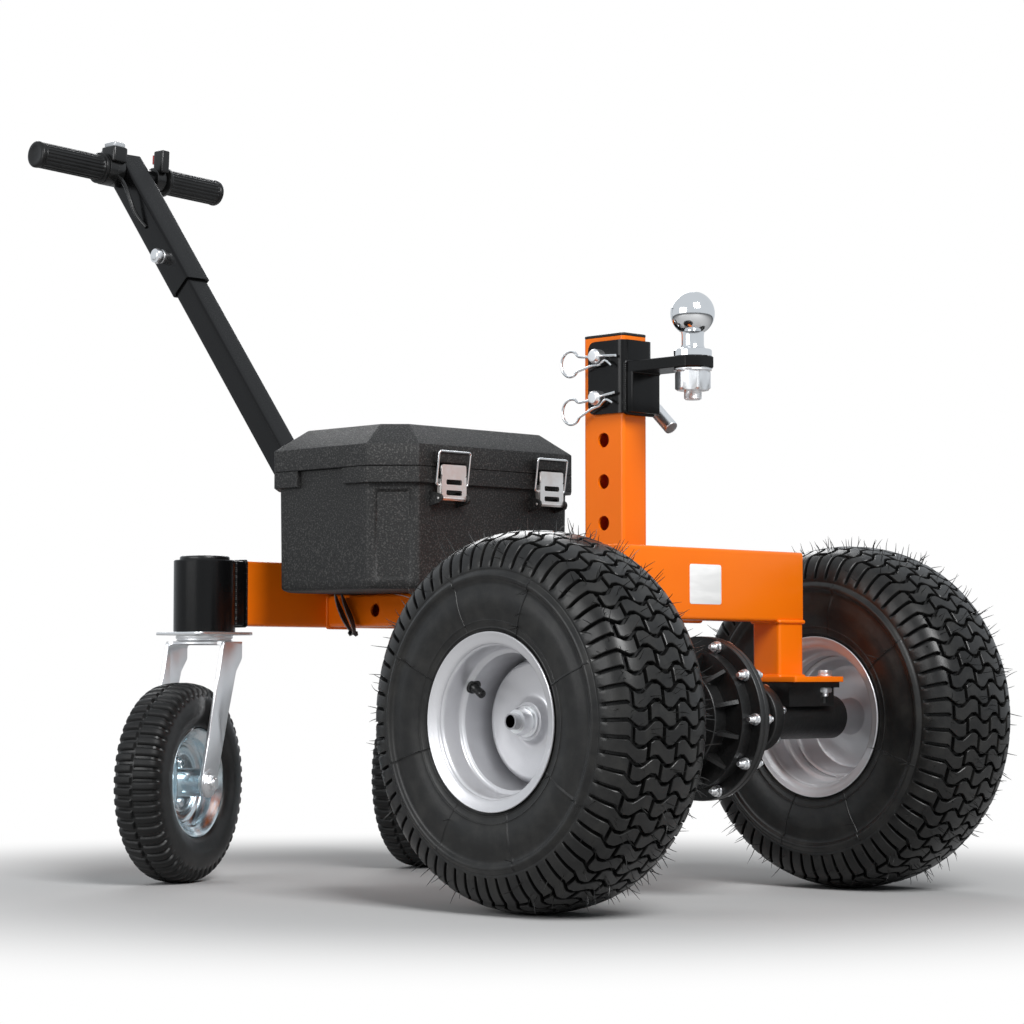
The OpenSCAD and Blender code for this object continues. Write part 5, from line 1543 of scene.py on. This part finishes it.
@dataclass
class Caster(SubAssembly):
    """A swivel caster: tyre, zinc rim with its boss, fork, race and axle bolt."""

    side: Side
    hub: Triple = (-581.41, 52.99, 114.0)
    trail: Pair = (0.406737, -0.913545)
    swivel: Pair = (-605.0, 192.0)
    blocks: int = 54
    groove: float = 3.4
    bosses: tuple[float, ...] = (0.5236, 2.618, 4.7124)

    def centre(self) -> Point:
        """The wheel's middle."""
        return self.hub[0], self.side.value * self.swivel[1] - self.hub[1], self.hub[2]

    def wheel(self) -> Datum:
        """The wheel's axes: local Z along the axle, local X up."""
        return Datum(self.centre(), (-self.trail[1], self.trail[0], 0.0), UP)

    def stand(self) -> Datum:
        """The fork's axes: local X along the trail and local Z up."""
        return Datum((self.swivel[0], self.side.value * self.swivel[1], 0.0), UP, (*self.trail, 0.0))

    def cheek(self) -> Datum:
        """Axes of the fork's legs: local X along the trail and local Y up."""
        return Datum(self.stand().origin, (self.trail[1], -self.trail[0], 0.0), (*self.trail, 0.0))

    def tyre(self) -> Shell:
        """Two columns of rounded cross blocks over a smooth sidewall.

        A block's height is a cosine of the turn, sharpened and clipped; it fades in over
        the shoulder and falls away in the middle groove.

        Returns:
            The shell.
        """
        line = flow(mirrored([(-21.5, 62), (-26, 66), (-29.4, 76), (-30, 86), (-29.2, 96), (-27.6, 102),
                              (-25.5, 107), (-21, 110.8), (-14, 112.9), (-7, 113.8), (-2.4, 114), (0, 114)],
                             (-1, 1), 1), 3)
        out = unit(np.gradient(line, axis=0) @ np.array([[0.0, -1.0], [1.0, 0.0]]))
        out *= np.sign((out * (line - [0, 90])).sum(1))[:, None]
        turn = round_turns(self.blocks * 10)[None]
        across, height = line[:, :1], line[:, 1:]
        phase = self.blocks * turn + np.where(across > 0, np.pi, 0.0)
        block = np.clip(0.5 + 1.5 * (np.cos(phase) + 0.42), 0, 1)
        block = block * block * (3 - 2 * block)
        tread = np.clip((height - 98) / 5, 0, 1)
        middle = np.clip((np.abs(across) - 0.9) / 1.6, 0, 1)
        drop = self.groove * (1 - block * middle) * tread
        ring = 0.5 * np.exp(-((height - 84) / 1.0) ** 2) + 0.35 * np.exp(-((height - 94) / 0.8) ** 2)
        shift = ring - drop
        grid = spun(height + out[:, 1:] * shift, turn, across + out[:, :1] * shift)
        inner = lathe([(58.0, 20.0), (58.0, -20.0)], turn.size)
        along = np.vstack([np.broadcast_to(tread * block, grid.shape[:2]), np.zeros(inner.shape[:2])])
        return Shell().add(np.concatenate([grid, inner]), self.wheel(), ring=True, depth=along)

    def rim(self) -> Shell:
        """Flanges, barrel, dish, three-cornered boss plates, bolts and the hub barrel.

        Returns:
            The shell.
        """
        at = self.wheel()
        barrel = mirrored([(50.8, -16), (56, -19.4), (59.4, -23), (61.8, -24), (63, -22.8), (62.2, -20.6),
                           (59, -17.6), (54, -14), (53, -10)])
        shell = Shell().add(lathe(np.vstack([barrel, [(49.6, 10), (49.6, -10)]]), 128), at, ring=True)
        dish = flow([(50.5, 3.4), (46, 3.0), (42, 1.2), (37, 1.6), (32, 4.4), (20, 4.6), (15, 4.6)], 5)
        shell.add(lathe(np.vstack([dish, dish[::-1] - [0, 3.0]]), 128), at, ring=True)
        turns = np.array(self.bosses)
        plate = soft_polygon(arc((0.0, 0.0), 40.0, turns), 9.0, 9, 8)
        cap = flow([(5.6, 0), (5.6, 1.4), (4.8, 2.8), (2.6, 3.7), (0.4, 3.9)], 3)
        for face, low, high in ((1.0, 4.4, 7.6), (-1.0, -4.6, -1.4)):
            rows = [(plate * 0.97, low), (plate, low + 0.6), (plate, high - 0.6), (plate * 0.97, high)]
            shell.add(stack(rows), at)
            for x, y in arc((0.0, 0.0), 25.5, turns):
                shell.add(lathe(cap * [1, face], 24) + [x, y, high if face > 0 else low], at)
        return shell.add(lathe(mirrored([(12.0, -33), (15.2, -33.2), (16, -32.4)]), 64), at, ring=True)

    def fork(self) -> Shell:
        """Crown, two pressed legs with rolled edges, and the kingpin's nut.

        Returns:
            The shell.
        """
        foot, nose = (58.0, 114.0), np.append(0.244, np.linspace(0.1, -2.75, 14))
        outline = even(np.vstack([[(-23, 275.7), (23, 275.7)], arc(foot, 17.0, nose),
                                  arc(foot, -17.0, np.array([0.349])), [(-8, 241.7), (-23, 256.7)]]), 3.0, True)
        shell = Shell()
        for face in (1.0, -1.0):
            levels = ((1.0, 34.0), (0.25, 34.35), (0, 35.0), (0, 37.0), (0.25, 37.65), (1.0, 38.0))
            shell.add(eased_plate(outline, [(inset, z * face) for inset, z in levels]), self.cheek())
            boss = flow([(10, 37.9), (15, 37.9), (15.6, 38.6), (15.4, 39.2), (10, 39.4)], 4) * [1, face]
            shell.add(lathe(boss, 48), Datum(self.centre(), self.cheek().axis), ring=True)
        crown = [(4, 271.7), (36, 271.7), (37, 272.6), (37, 274.8), (36, 275.7), (27, 275.7), (26, 276.0),
                 (4, 276.0)]
        stand = self.stand()
        shell.add(lathe(crown, 96), stand, ring=True)
        for face in (1.0, -1.0):
            bend = flow([(29, 275.7), (34, 275.6), (37.2, 273.6), (38, 269)], 5)
            under = flow([(34, 268.5), (33.4, 270.8), (31, 271.8), (29, 271.8)], 5)
            ring = np.vstack([bend, under])
            rows = [np.column_stack([np.full(len(ring), x), ring[:, 0] * face, ring[:, 1]]) for x in (-22.9, 22.9)]
            shell.add(np.stack(rows), stand)
        shell.add(hexagon(14.5, 12.0, 0.15) + [0, 0, 286.8], stand)
        return shell.add(threaded(9.6, 30.0, 1.5, 32) + [0, 0, 273.0], stand)

    def plate(self, shell: Shell) -> None:
        """The top plate with rounded corners, and the ball race below it.

        Args:
            shell: the shell that it is added to.
        """
        at = Datum(self.stand().origin)
        shell.add(soft_block((42.0, 42.0), 283.0, 286.5, 9.0, 0.7, 4), at)
        race = flow([(14, 283), (31.6, 283), (33, 281.6), (33, 279.6), (31.4, 278.2), (31.4, 277.6), (32.4, 276.9),
                     (31, 276.1), (14, 276.1)], 4)
        shell.add(lathe(race, 96), at, ring=True)

    def axle(self) -> Shell:
        """The bolt, its heads, washers and the spacer in the hub.

        Returns:
            The shell.
        """
        at = self.wheel()
        shell = Shell().add(lathe(mirrored([(9.6, -33.8), (9.8, -33.4)]), 32), at)
        for face in (1.0, -1.0):
            turned_over = Datum(at.origin, tuple(face * c for c in at.axis), at.side)
            shell.add(lathe(bush(6, 12, 38.1, 39.9, (0.4, 0.5)), 40), turned_over, ring=True)
            shell.add(hexagon(8.2, 5.6, 0.2) + [0, 0, 39.8], turned_over)
        return shell.add(threaded(5.9, 94.0, 1.5, 20) + [0, 0, -47.0], at)

    def build(self) -> None:
        """Make one caster's pieces."""
        caster = f"{self.side.word}_caster"
        wheel = f"{caster}_wheel"
        self.bench.fit(self.tyre(), f"{caster}_block_tyre", "caster_tyre_rubber", wheel, [f"{caster}_tyre"], 50)
        self.bench.fit(self.rim(), f"{caster}_dished_rim", "bluish_zinc", wheel, [f"{caster}_rim"], 30)
        self.bench.fit(self.fork(), f"{caster}_pressed_fork", "bright_zinc", caster, [f"{caster}_fork"])
        self.bench.fit(self.axle(), f"{caster}_axle_bolt", "bright_zinc", caster, [f"{caster}_axle"])


# ---- battery box


@dataclass
class BatteryBox(SubAssembly):
    """The moulded box and lid, the two latches and the strap's tail."""

    mid_x: float = -433.5
    foot: Pair = (115.2, 156.6)
    foot_z: float = 336.5
    top: Pair = (116.3, 157.8)
    top_z: float = 451.0
    lip: Pair = (121.5, 163.0)
    cut: float = 41.0
    notch_half: float = 39.0
    notch: float = 5.2
    panel: float = 2.6
    latch_y: float = 78.0
    hinge: Pair = (-562.5, 477.0)
    pivot: Pair = (-303.0, 434.0)

    def outline(self, half: Pair, soft: float, inset: float = 0.0, notch: float = 0.0,
                panel: float = 0.0) -> Array:
        """One level's outline: a rectangle with cut corners, side notches and corner panels.

        Args:
            half: half sizes along X and Y.
            soft: rounding of the corners.
            inset: how much less the corners are cut than the box's.
            notch: depth of the notch in each side wall.
            panel: depth of the corner panels.

        Returns:
            The outline's points.
        """
        cut = self.cut - inset
        ring = soft_polygon(octagon(half[0], half[1], cut), soft, 6, 12).reshape(8, 18, 2)
        edge = self.notch_half
        marks = np.array([-60.0, -50.0, -edge - 0.3, -edge, -24, -8, 8, 24, edge, edge + 0.3, 50.0, 60.0])
        inside = np.abs(marks) < edge + 0.1
        room = min(1.0, (half[0] - cut) / 64.0)
        for block, turn in ((2, -1.0), (6, 1.0)):
            ring[block, 6:, 0] = turn * marks * room
            ring[block, 6:, 1] += turn * notch * inside
        for block in (1, 3, 5, 7):
            ring[block, 7:-1] -= panel * np.sign(ring[block, 7:-1].mean(0)) / math.sqrt(2)
        return ring.reshape(-1, 2) + [self.mid_x, 0.0]

    def body(self) -> Shell:
        """The open body: rounded foot, drafted walls, corner panels, notched lip and inside.

        Returns:
            The shell.
        """
        def wall(z: float, inset: float = 0.0) -> Pair:
            """Half sizes at a height, on the straight line between foot and top."""
            share = (z - self.foot_z) / (self.top_z - self.foot_z)
            return tuple(f + (t - f) * share - inset for f, t in zip(self.foot, self.top))
        rows = [(self.outline(wall(self.foot_z, i), 9.0), z) for i, z in ((7.0, 332.5), (3.0, 332.9), (1.0, 334.2))]
        for z, panel in ((self.foot_z, 0), (343, 0), (346.5, 1), (441, 1), (444.5, 0), (self.top_z, 0)):
            rows.append((self.outline(wall(z), 8.0, panel=panel * self.panel), z))
        for inset, z in ((0.5, 451.3), (0.0, 452.0), (0.0, 469.0), (0.6, 469.7)):
            half = self.lip[0] - inset, self.lip[1] - inset
            rows.append((self.outline(half, 4.0, notch=self.notch - inset), z))
        for half, z in (((114.0, 155.5), 469.7), ((113.0, 154.5), 469.0), ((105.0, 146.5), 338.0),
                        ((104.0, 145.5), 336.5)):
            rows.append((self.outline(half, 5.0, 3.0), z))
        shell = Shell().add(stack(rows))
        for side in Side:
            for edge in (-21.05, 21.05):
                self.ear(shell, side.value * self.latch_y + edge)
        for y in (95.0, -75.0):
            self.knuckle(shell, y, (458.0, 474.0))
        return shell

    def ear(self, shell: Shell, y: float) -> None:
        """A latch ear: a tab with a round nose about the lever's pivot.

        Args:
            shell: the shell that it is added to.
            y: the ear's middle.
        """
        nose = arc(self.pivot, 5.4, np.linspace(-1.3, 1.3, 9))
        ring = even(np.vstack([[(-319.5, 443), (-319.5, 425)], nose]), 1.5, True)
        at = Datum((0.0, y, 0.0), (0.0, -1.0, 0.0), AHEAD)
        shell.add(eased_plate(ring, ((0.5, -1.75), (0, -1.3), (0, 1.3), (0.5, 1.75))), at)

    def knuckle(self, shell: Shell, y: float, web: Pair) -> None:
        """A hinge knuckle and the web that joins it to the wall."""
        x, z = self.hinge
        shell.add(lathe(bush(2.3, 5, -9.8, 9.8, (0.4, 0.4)), 32), Datum((x, y, z), LEFTWARD), ring=True)
        shell.add(soft_block((3.6, 9.6), *web, 0.8, 0.5), Datum((-557.6, y, 0.0)))

    def lid(self) -> None:
        """The lid: rolled rim, upright skirt, sloped crown and hollow inside, with keepers."""
        levels = ((40.0, 516.2), (5.0, 491.5), (3.6, 470.2), (0.8, 470.0), (0.0, 470.8), (0.0, 493.6),
                  (0.4, 494.8), (1.6, 495.8), (19.0, 507.9), (34.6, 518.8), (35.8, 519.6), (38.0, 520.0))
        rows = []
        for inset, z in levels:
            half = self.lip[0] - inset, self.lip[1] - inset
            rows.append((self.outline(half, 4.0, 0.5 * inset), z))
        shell = Shell().add(stack(rows))
        for side in Side:
            spot = Datum((-307.0, side.value * self.latch_y, 0.0))
            shell.add(soft_block((6.0, 22.0), 474.0, 487.0, 1.5, 1.0, 2), spot)
        for y in (74.7, -95.3):
            self.knuckle(shell, y, (472.0, 482.0))
        self.bench.fit(shell, "moulded_box_lid", "pebbled_black_plastic", "lid", ["box_lid"], 28)

    def lever(self, y: float) -> Shell:
        """A pressed lever: a plate with two long slots, side flanges and the rolled pivot.

        Args:
            y: the lever's middle.

        Returns:
            The shell.
        """
        at = Datum((-303.0, y, 0.0), AHEAD, LEFTWARD)
        shell = Shell()
        for low, high, slot in ((434.0, 446.5, 440.5), (446.5, 459.0, 452.5)):
            mid = (low + high) / 2
            outer = soft_polygon(rectangle(19.0, (high - low) / 2), 0.05, 2, 7) + [0, mid]
            inner = soft_polygon(rectangle(12.0, 2.9), 1.2, 2, 7) + [0, slot]
            shell.add(pierced(outer, inner, 2.0), at, ring=True)
        head = soft_polygon([(-19, 459), (19, 459), (19, 472), (-19, 472)], 2.5, 6, 3)
        shell.add(stack([(head, 0.0), (head, 1.5), (head * [0.985, 1], 2.0)]), at)
        for edge in (-18.0, 18.0):
            shell.add(soft_block((3.2, 1.0), 434.0, 456.0, 0.6, 0.4), Datum((-306.0, y + edge, 0.0)))
        pivot = Datum((self.pivot[0], y, self.pivot[1]), LEFTWARD)
        shell.add(lathe(mirrored([(1.6, -19), (2.2, -18.8), (2.4, -18)]), 24), pivot)
        return shell.add(lathe(mirrored([(1.0, -23.6), (1.5, -23.2)]), 20), pivot)

    def bail(self, y: float) -> Shell:
        """A wire bail with rounded bends."""
        corners = mirrored([(-305, -16.7, 449), (-305, -24, 449), (-299.45, -24, 486.5)], (1, -1, 1))
        return Shell().add(tube(bent(corners, 3.2, 9) + [0, y, 0], 1.3, 14, AHEAD))

    def strap(self) -> tuple[Shell, float]:
        """The strap's tail: a band that hangs in a narrow loop from under the box's edge.

        Returns:
            The shell, and the strap's length in metres.
        """
        line = even(flow([(-560, -28.5, 332.3), (-556, -28.5, 323), (-547, -29, 308), (-538, -29.5, 296),
                          (-529.5, -29.5, 287), (-526.5, -29.5, 285.6), (-525.5, -29.5, 289), (-529, -29.5, 299),
                          (-536, -29, 311), (-543.5, -28.5, 323), (-548, -28.5, 332.3)], 12), 1.0)
        share = np.linspace(0, 1, len(line))
        turn = np.pi / 2 + 0.22 * np.sin(2 * np.pi * share)
        flat = soft_polygon(rectangle(0.65, 8.5), 0.5, 4, 6)
        grid = sweep(line, np.stack([turned(flat, a) for a in turn]), (-0.66, 0.75, 0.0))
        along = np.arange(len(line))[:, None] + 0.0 * flat[None, :, 0]
        across = flat[None, :, 1] + 0 * along
        return Shell().add(grid, along=along, across=across), float(len(line)) * MM

    def build(self) -> None:
        """Make the box's pieces."""
        box = self.bench.fit(self.body(), "moulded_box_body", "pebbled_black_plastic", "chassis", ["box_body"], 32)
        self.lid()
        for side in Side:
            word, y = side.word, side.value * self.latch_y
            self.bench.fit(self.lever(y), f"{word}_pressed_latch_lever", "weathered_stainless", f"{word}_latch",
                           [f"{word}_latch_lever"])
            self.bench.fit(self.bail(y), f"{word}_wire_latch_bail", "polished_chrome", f"{word}_bail",
                           [f"{word}_latch_bail"], 60)
        strap, length = self.strap()
        tail = self.bench.fit(strap, "hanging_strap_tail", "strap_webbing", "chassis", crease=50)


# ---- handle


@dataclass
class Handle(SubAssembly):
    """The telescopic stem, the bar with its fluted grips, and the controls on it."""

    stem: Datum = Datum((-579.0, 0.0, 370.5), (-0.634731, 0.0, 0.772733), (0.772733, 0.0, 0.634731))
    bar: Triple = (-1016.964, 0.0, 903.686)
    bar_axis: Triple = (-0.047174, 0.998135, -0.038749)
    bar_side: Triple = (0.998886, 0.047174, -0.000915)
    tube: Pair = (15.875, 15.875)
    sleeve: Pair = (19.05, 19.05)
    gauge: Triple = (11.0, -33.6, 0.0)
    flutes: int = 22
    flute: float = 1.15

    def along(self, y: float, way: float = 1.0) -> Datum:
        """Axes on the bar at a distance from its middle."""
        spot = tuple(c + a * y for c, a in zip(self.bar, self.bar_axis))
        return Datum(spot, tuple(way * a for a in self.bar_axis), self.bar_side)

    def level(self) -> Datum:
        """Axes on the bar with local Z nearly upright and local Y along the bar."""
        return Datum(self.bar, (-0.000915, 0.038749, 0.999249), self.bar_side)

    def grip(self, inner: float, length: float, way: float) -> Shell:
        """A fluted grip.

        The radius is the profile's, less the flute depth times the cosine of the turn
        times the flute count, raised and clipped to round lands.

        Args:
            inner: where it starts on the bar.
            length: its length.
            way: 1 where it runs to the tug's left, and -1 to the right.

        Returns:
            The shell.
        """
        ends = [(0.0, 11.6, 0), (0.05, 19.8, 0), (0.6, 20.5, 0), (4.4, 20.5, 0), (5.0, 20.0, 0), (5.2, 17.6, 0),
                (6.6, 16.9, 0), (8.2, 16.8, 1)]
        far = [(length - 10, 16.8, 1), (length - 8.6, 16.9, 0), (length - 7.6, 16.2, 0), (length - 6.4, 16.4, 0),
               (length - 5.4, 17.4, 0), (length - 2.6, 17.5, 0), (length - 1.0, 16.8, 0), (length - 0.1, 15.0, 0),
               (length, 12.0, 0), (length - 0.6, 10.5, 0), (length - 0.8, 2.0, 0)]
        middle = [(z, 16.8, 1) for z in np.linspace(14, length - 14, 8)]
        z, r, share = (np.array(c)[:, None] for c in zip(*(ends + middle + far)))
        turn = round_turns(self.flutes * 10)[None]
        land = np.clip(0.5 - 1.1 * np.cos(self.flutes * turn), 0, 1)
        grid = spun(r - self.flute * share * (1 - land), turn, z)
        return Shell().add(grid, self.along(inner, way))

    def tubes(self) -> None:
        """The lower tube, the sleeve with its closed top, and the bar."""
        lower = Shell().add(hollow(self.tube, 2.5, 3.2, 24.0, 648.0), self.stem, ring=True)
        self.bench.fit(lower, "lower_stem_rounded_tube", "satin_black_powder", "chassis", ["handle_lower_tube"], 25)
        sleeve = Shell().add(hollow(self.sleeve, 2.9, 3.6, 474.0, 706.0), self.stem, ring=True)
        sleeve.add(soft_block(self.sleeve, 705.0, 708.0, 3.6, 0.8, 2), self.stem)
        collar = [(11.0, 18.9), (13.6, 18.9), (14.4, 19.6), (13.2, 20.9), (11.2, 21.2)]
        for way in (1.0, -1.0):
            sleeve.add(lathe(collar, 40), self.along(0.0, way), ring=True)
        self.bench.fit(sleeve, "upper_sleeve_rounded_tube", "satin_black_powder", "handle", ["handle_sleeve"], 25)
        rod = mirrored([(10.2, -150), (11.1, -149.2)])
        self.bench.fit(Shell().add(lathe(rod, 64), self.along(0.0)), "round_handlebar", "satin_black_powder",
                       "handle", ["handlebar"])

    def controls(self) -> None:
        """The throttle's housing with its gauge pod, and the direction switch."""
        skin = [(11.4, -46.6), (19.4, -46.6), (20.6, -46.0), (21, -44.8), (21, -34.1), (20.5, -33.8), (20.5, -33.4),
                (21, -33.1), (21, -22.4), (20.6, -21.2), (19.4, -20.6), (11.4, -20.6)]
        housing = Shell().add(lathe(skin, 96), self.along(0.0), ring=True)
        housing.add(soft_block((14.0, 12.0), 8.0, 28.5, 4.5, 2.0, 3) + self.gauge, self.level())
        screw = flow([(3.2, 0), (3.2, 1.2), (2.4, 1.9), (0.5, 2.1)], 3)
        for y in (-41.0, -26.0):
            spot = self.level().put(np.array([-2.6, y, 22.0]))
            housing.add(lathe(screw, 20), Datum(tuple(spot), tuple(-c for c in self.bar_side)))
        self.bench.fit(housing, "throttle_housing_shell", "smooth_black_plastic", "handle", ["throttle_housing"])
        lens = soft_block((11.6, 9.6), 28.0, 34.5, 4.0, 1.6, 3) + self.gauge
        self.bench.fit(Shell().add(lens, self.level()), "gauge_window", "gauge_lens", "handle")
        switch = Shell().add(lathe(bush(11.4, 15.5, 39, 54, (0.9, 0.9)), 64), self.along(0.0), ring=True)
        switch.add(soft_block((9.5, 6.5), 8.0, 38.0, 2.6, 1.8, 3) + [11.5, 46.5, 0.0], self.level())
        self.bench.fit(switch, "switch_clamp_and_block", "smooth_black_plastic", "handle", ["direction_switch"])

    def screws(self) -> None:
        """The clamp bolt with its collar on the right, and the set screw underneath."""
        foot = self.stem.put(np.array([0.0, -self.sleeve[0], 530.0]))
        at = Datum(tuple(foot), (0.0, -1.0, 0.0))
        collar = flow([(5, -0.4), (8.4, -0.4), (9.2, 0.4), (9.2, 3.8), (8.4, 4.8), (5, 5)], 3)
        shell = Shell().add(lathe(collar, 40), at, ring=True)
        shell.add(hexagon(9.0, 8.6, 0.2) + [0, 0, 5.0], at)
        cap = flow([(6.4, 0), (6.2, 0.6), (4.4, 1.1), (0.5, 1.3)], 3)
        shell.add(lathe(cap, 32) + [0, 0, 13.5], at)
        under = self.stem.put(np.array([-self.sleeve[0], 0.0, 500.0]))
        back = Datum(tuple(under), tuple(-c for c in self.stem.side), LEFTWARD)
        shell.add(hexagon(5.6, 4.4, 0.2) + [0, 0, -0.3], back)
        shell.add(threaded(3.9, 8.0, 1.25, 20) + [0, 0, 3.6], back)
        self.bench.fit(shell, "stem_clamp_bolt", "bright_zinc", "handle", ["handle_screws"])

    def cable(self) -> tuple[Shell, Array]:
        """The throttle's cable: a smooth line from the housing to the sleeve.

        Returns:
            The shell, and the points of the cable's middle.
        """
        route = flow([(6, -30, -17), (9, -31, -30), (9, -31, -43), (5, -29.5, -58), (0, -27, -73), (-2, -24, -88),
                      (-2, -19.4, -104)], 6)
        side = np.cross(np.array(self.bar_axis), np.array(self.stem.axis))
        line = Datum(self.bar, self.stem.axis, tuple(side)).put(route)
        return Shell().add(tube(line, 2.6, 16, LEFTWARD)), line

    def build(self) -> None:
        """Make the handle's pieces."""
        self.tubes()
        self.controls()
        self.bench.fit(self.grip(-47.0, 108.0, -1.0), "fluted_throttle_grip", "grip_rubber", "throttle",
                       ["throttle_grip"], 40)
        self.bench.fit(self.grip(57.0, 98.0, 1.0), "fluted_left_grip", "grip_rubber", "handle", ["left_grip"], 40)
        self.screws()
        shell, line = self.cable()
        cable = self.bench.fit(shell, "throttle_lead", "smooth_black_plastic", "handle", ["throttle_cable"], 60)
        length = float(run_of(line)[-1]) * MM
        tuple(line[0] * MM)
        (line * MM).tolist()


# ---- studio


@dataclass
class Studio:
    """Camera, lamps and the pale floor with its painted shadow."""

    heading: float = 45.44
    pitch: float = 3.37
    lens: float = 98.2
    eye: Point = (1.9732, -2.2266, 0.2350)

    def camera(self) -> None:
        """Set the camera at the photograph's place."""
        data = bpy.data.cameras.new("photo_camera")
        data.lens = self.lens
        data.sensor_width = 36.0
        data.clip_end = 60.0
        camera = bpy.data.objects.new("photo_camera", data)
        turn, rise = math.radians(self.heading), math.radians(self.pitch)
        look = Vector((-math.sin(turn) * math.cos(rise), math.cos(turn) * math.cos(rise), math.sin(rise)))
        camera.location = self.eye
        camera.rotation_euler = look.to_track_quat("-Z", "Y").to_euler()
        bpy.context.scene.collection.objects.link(camera)
        bpy.context.scene.camera = camera

    def lamp(self, name: str, place: Point, aim: Point, size: Pair, power: float) -> None:
        """Hang one soft box.

        Args:
            name: the lamp's name.
            place: where it hangs, in metres.
            aim: the point that it faces.
            size: its width and height.
            power: its power in watts.
        """
        data = bpy.data.lights.new(name, "AREA")
        data.shape = "RECTANGLE"
        data.size, data.size_y = size
        data.energy = power
        lamp = bpy.data.objects.new(name, data)
        lamp.location = place
        lamp.rotation_euler = (Vector(aim) - Vector(place)).to_track_quat("-Z", "Y").to_euler()
        bpy.context.scene.collection.objects.link(lamp)

    def world(self) -> None:
        """A pale room: white where the camera or a reflection looks, softer as light."""
        sheet = Sheet("pale_room", world=True)
        seen, through, glossy = (sheet.node("ShaderNodeLightPath", output=f"Is {ray} Ray")
                                 for ray in ("Camera", "Transmission", "Glossy"))
        light = sheet.node("ShaderNodeBackground", {}, {"Color": (0.9, 0.95, 1.0, 1.0),
                                                         "Strength": glossy * 0.5 + 0.2})
        white = sheet.node("ShaderNodeBackground", {}, {"Color": (1.0, 1.0, 1.0, 1.0)})
        share = seen.maths("MAXIMUM", seen, through)
        sheet.node_output(sheet.node("ShaderNodeMixShader", {}, {0: share, 1: light, 2: white}))
        bpy.context.scene.world = sheet.owner

    def floor(self) -> None:
        """A round pale floor, painted grey near the tug as a painted shadow, that fades into the white room far from
        the tug.
        """
        steps = 64
        reach = np.array([0.01, 1.0, 2.5, 6.0, 14.0])[:, None]
        grid = spun(reach, round_turns(steps), 0 * reach) - [0.4, 0.0, 0.0]
        index = np.arange(len(reach) * steps).reshape(-1, steps)
        index = np.concatenate([index, index[:, :1]], axis=1)
        quads = np.stack([index[:-1, :-1], index[1:, :-1], index[1:, 1:], index[:-1, 1:]], -1).reshape(-1, 4)
        faces = quads.tolist() + [index[0, :-1].tolist()]
        mesh = bpy.data.meshes.new("studio_floor")
        mesh.from_pydata(grid.reshape(-1, 3).tolist(), [], faces)
        floor = bpy.data.objects.new("studio_floor", mesh)
        bpy.context.scene.collection.objects.link(floor)
        sheet = Sheet("pale_floor")
        away = sheet.node("ShaderNodeVectorMath", {"operation": "SUBTRACT"}, {0: sheet.place(), 1: (-0.3, 0.0, 0.0)})
        # Painted shadow: near the tug the floor stays a darker grey, and farther away a white glow takes over for the
        # camera.
        far = sheet.node("ShaderNodeVectorMath", {"operation": "LENGTH"}, {0: away}, "Value").between(0.5, 1.1)
        tone = sheet.blend(sheet.noise(30.0, 2.0) * 0.25, grey(0.55), grey(0.52))
        painted_shadow_grey = sheet.node("ShaderNodeBsdfDiffuse", {}, {"Color": tone})
        glow = sheet.node("ShaderNodeEmission", {}, {"Color": (1, 1, 1, 1), "Strength": 1.0})
        share = far * sheet.node("ShaderNodeLightPath", output="Is Camera Ray")
        sheet.node_output(sheet.node("ShaderNodeMixShader", {}, {0: share, 1: painted_shadow_grey, 2: glow}))
        mesh.materials.append(sheet.owner)

    def build(self) -> None:
        """Set up the whole studio."""
        bpy.context.scene.view_settings.view_transform = "Standard"
        self.world()
        self.floor()
        self.lamp("key_box", (2.6, -1.1, 2.7), (-0.3, 0.0, 0.35), (1.6, 1.6), 130.0)
        self.lamp("side_box", (-0.6, -3.2, 1.3), (-0.4, 0.0, 0.35), (2.2, 1.4), 38.0)
        self.lamp("back_box", (-2.8, 1.8, 2.2), (-0.4, 0.0, 0.5), (2.0, 1.4), 46.0)


# ---- assembly


KEPT: dict[str, tuple[str, ...]] = {
    "satin_black_powder": ("handle_base",),
    "bright_zinc": ("lid_hinge_pin",),
    "black_casting": ("axle_housings", "right_gearcase_half", "left_gearcase_half", "differential_carrier"),
    "machined_steel": ("axle_bearings", "ring_gear", "motor_rotor", "right_axle_shaft", "left_axle_shaft"),
    "red_plastic": ("switch_button",),
    "battery_case_plastic": ("batteries",),
    "controller_aluminium": ("controller",),
}


def main() -> None:
    """Build the studio, then every sub-assembly in order."""
    logging.basicConfig(level=logging.INFO, format="%(name)s: %(message)s")
    studio = Studio()
    studio.camera()
    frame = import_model()
    bench = Bench(Finishes())
    for finish, names in KEPT.items():
        bench.dress(frame["nodes"], finish, names)
    Handle(bench).build()
    Frame(bench).build()
    Hitch(bench).build()
    DriveUnit(bench).build()
    plates = Shell()
    for side in Side:
        DriveWheel(bench, side).build()
        caster = Caster(bench, side)
        caster.build()
        caster.plate(plates)
    bench.fit(plates, "caster_top_plates", "bright_zinc", "chassis", ["caster_plates"])
    BatteryBox(bench).build()
    studio.build()
    log.info("%d triangles in new pieces", bench.triangles)


if __name__ == "__main__":
    main()
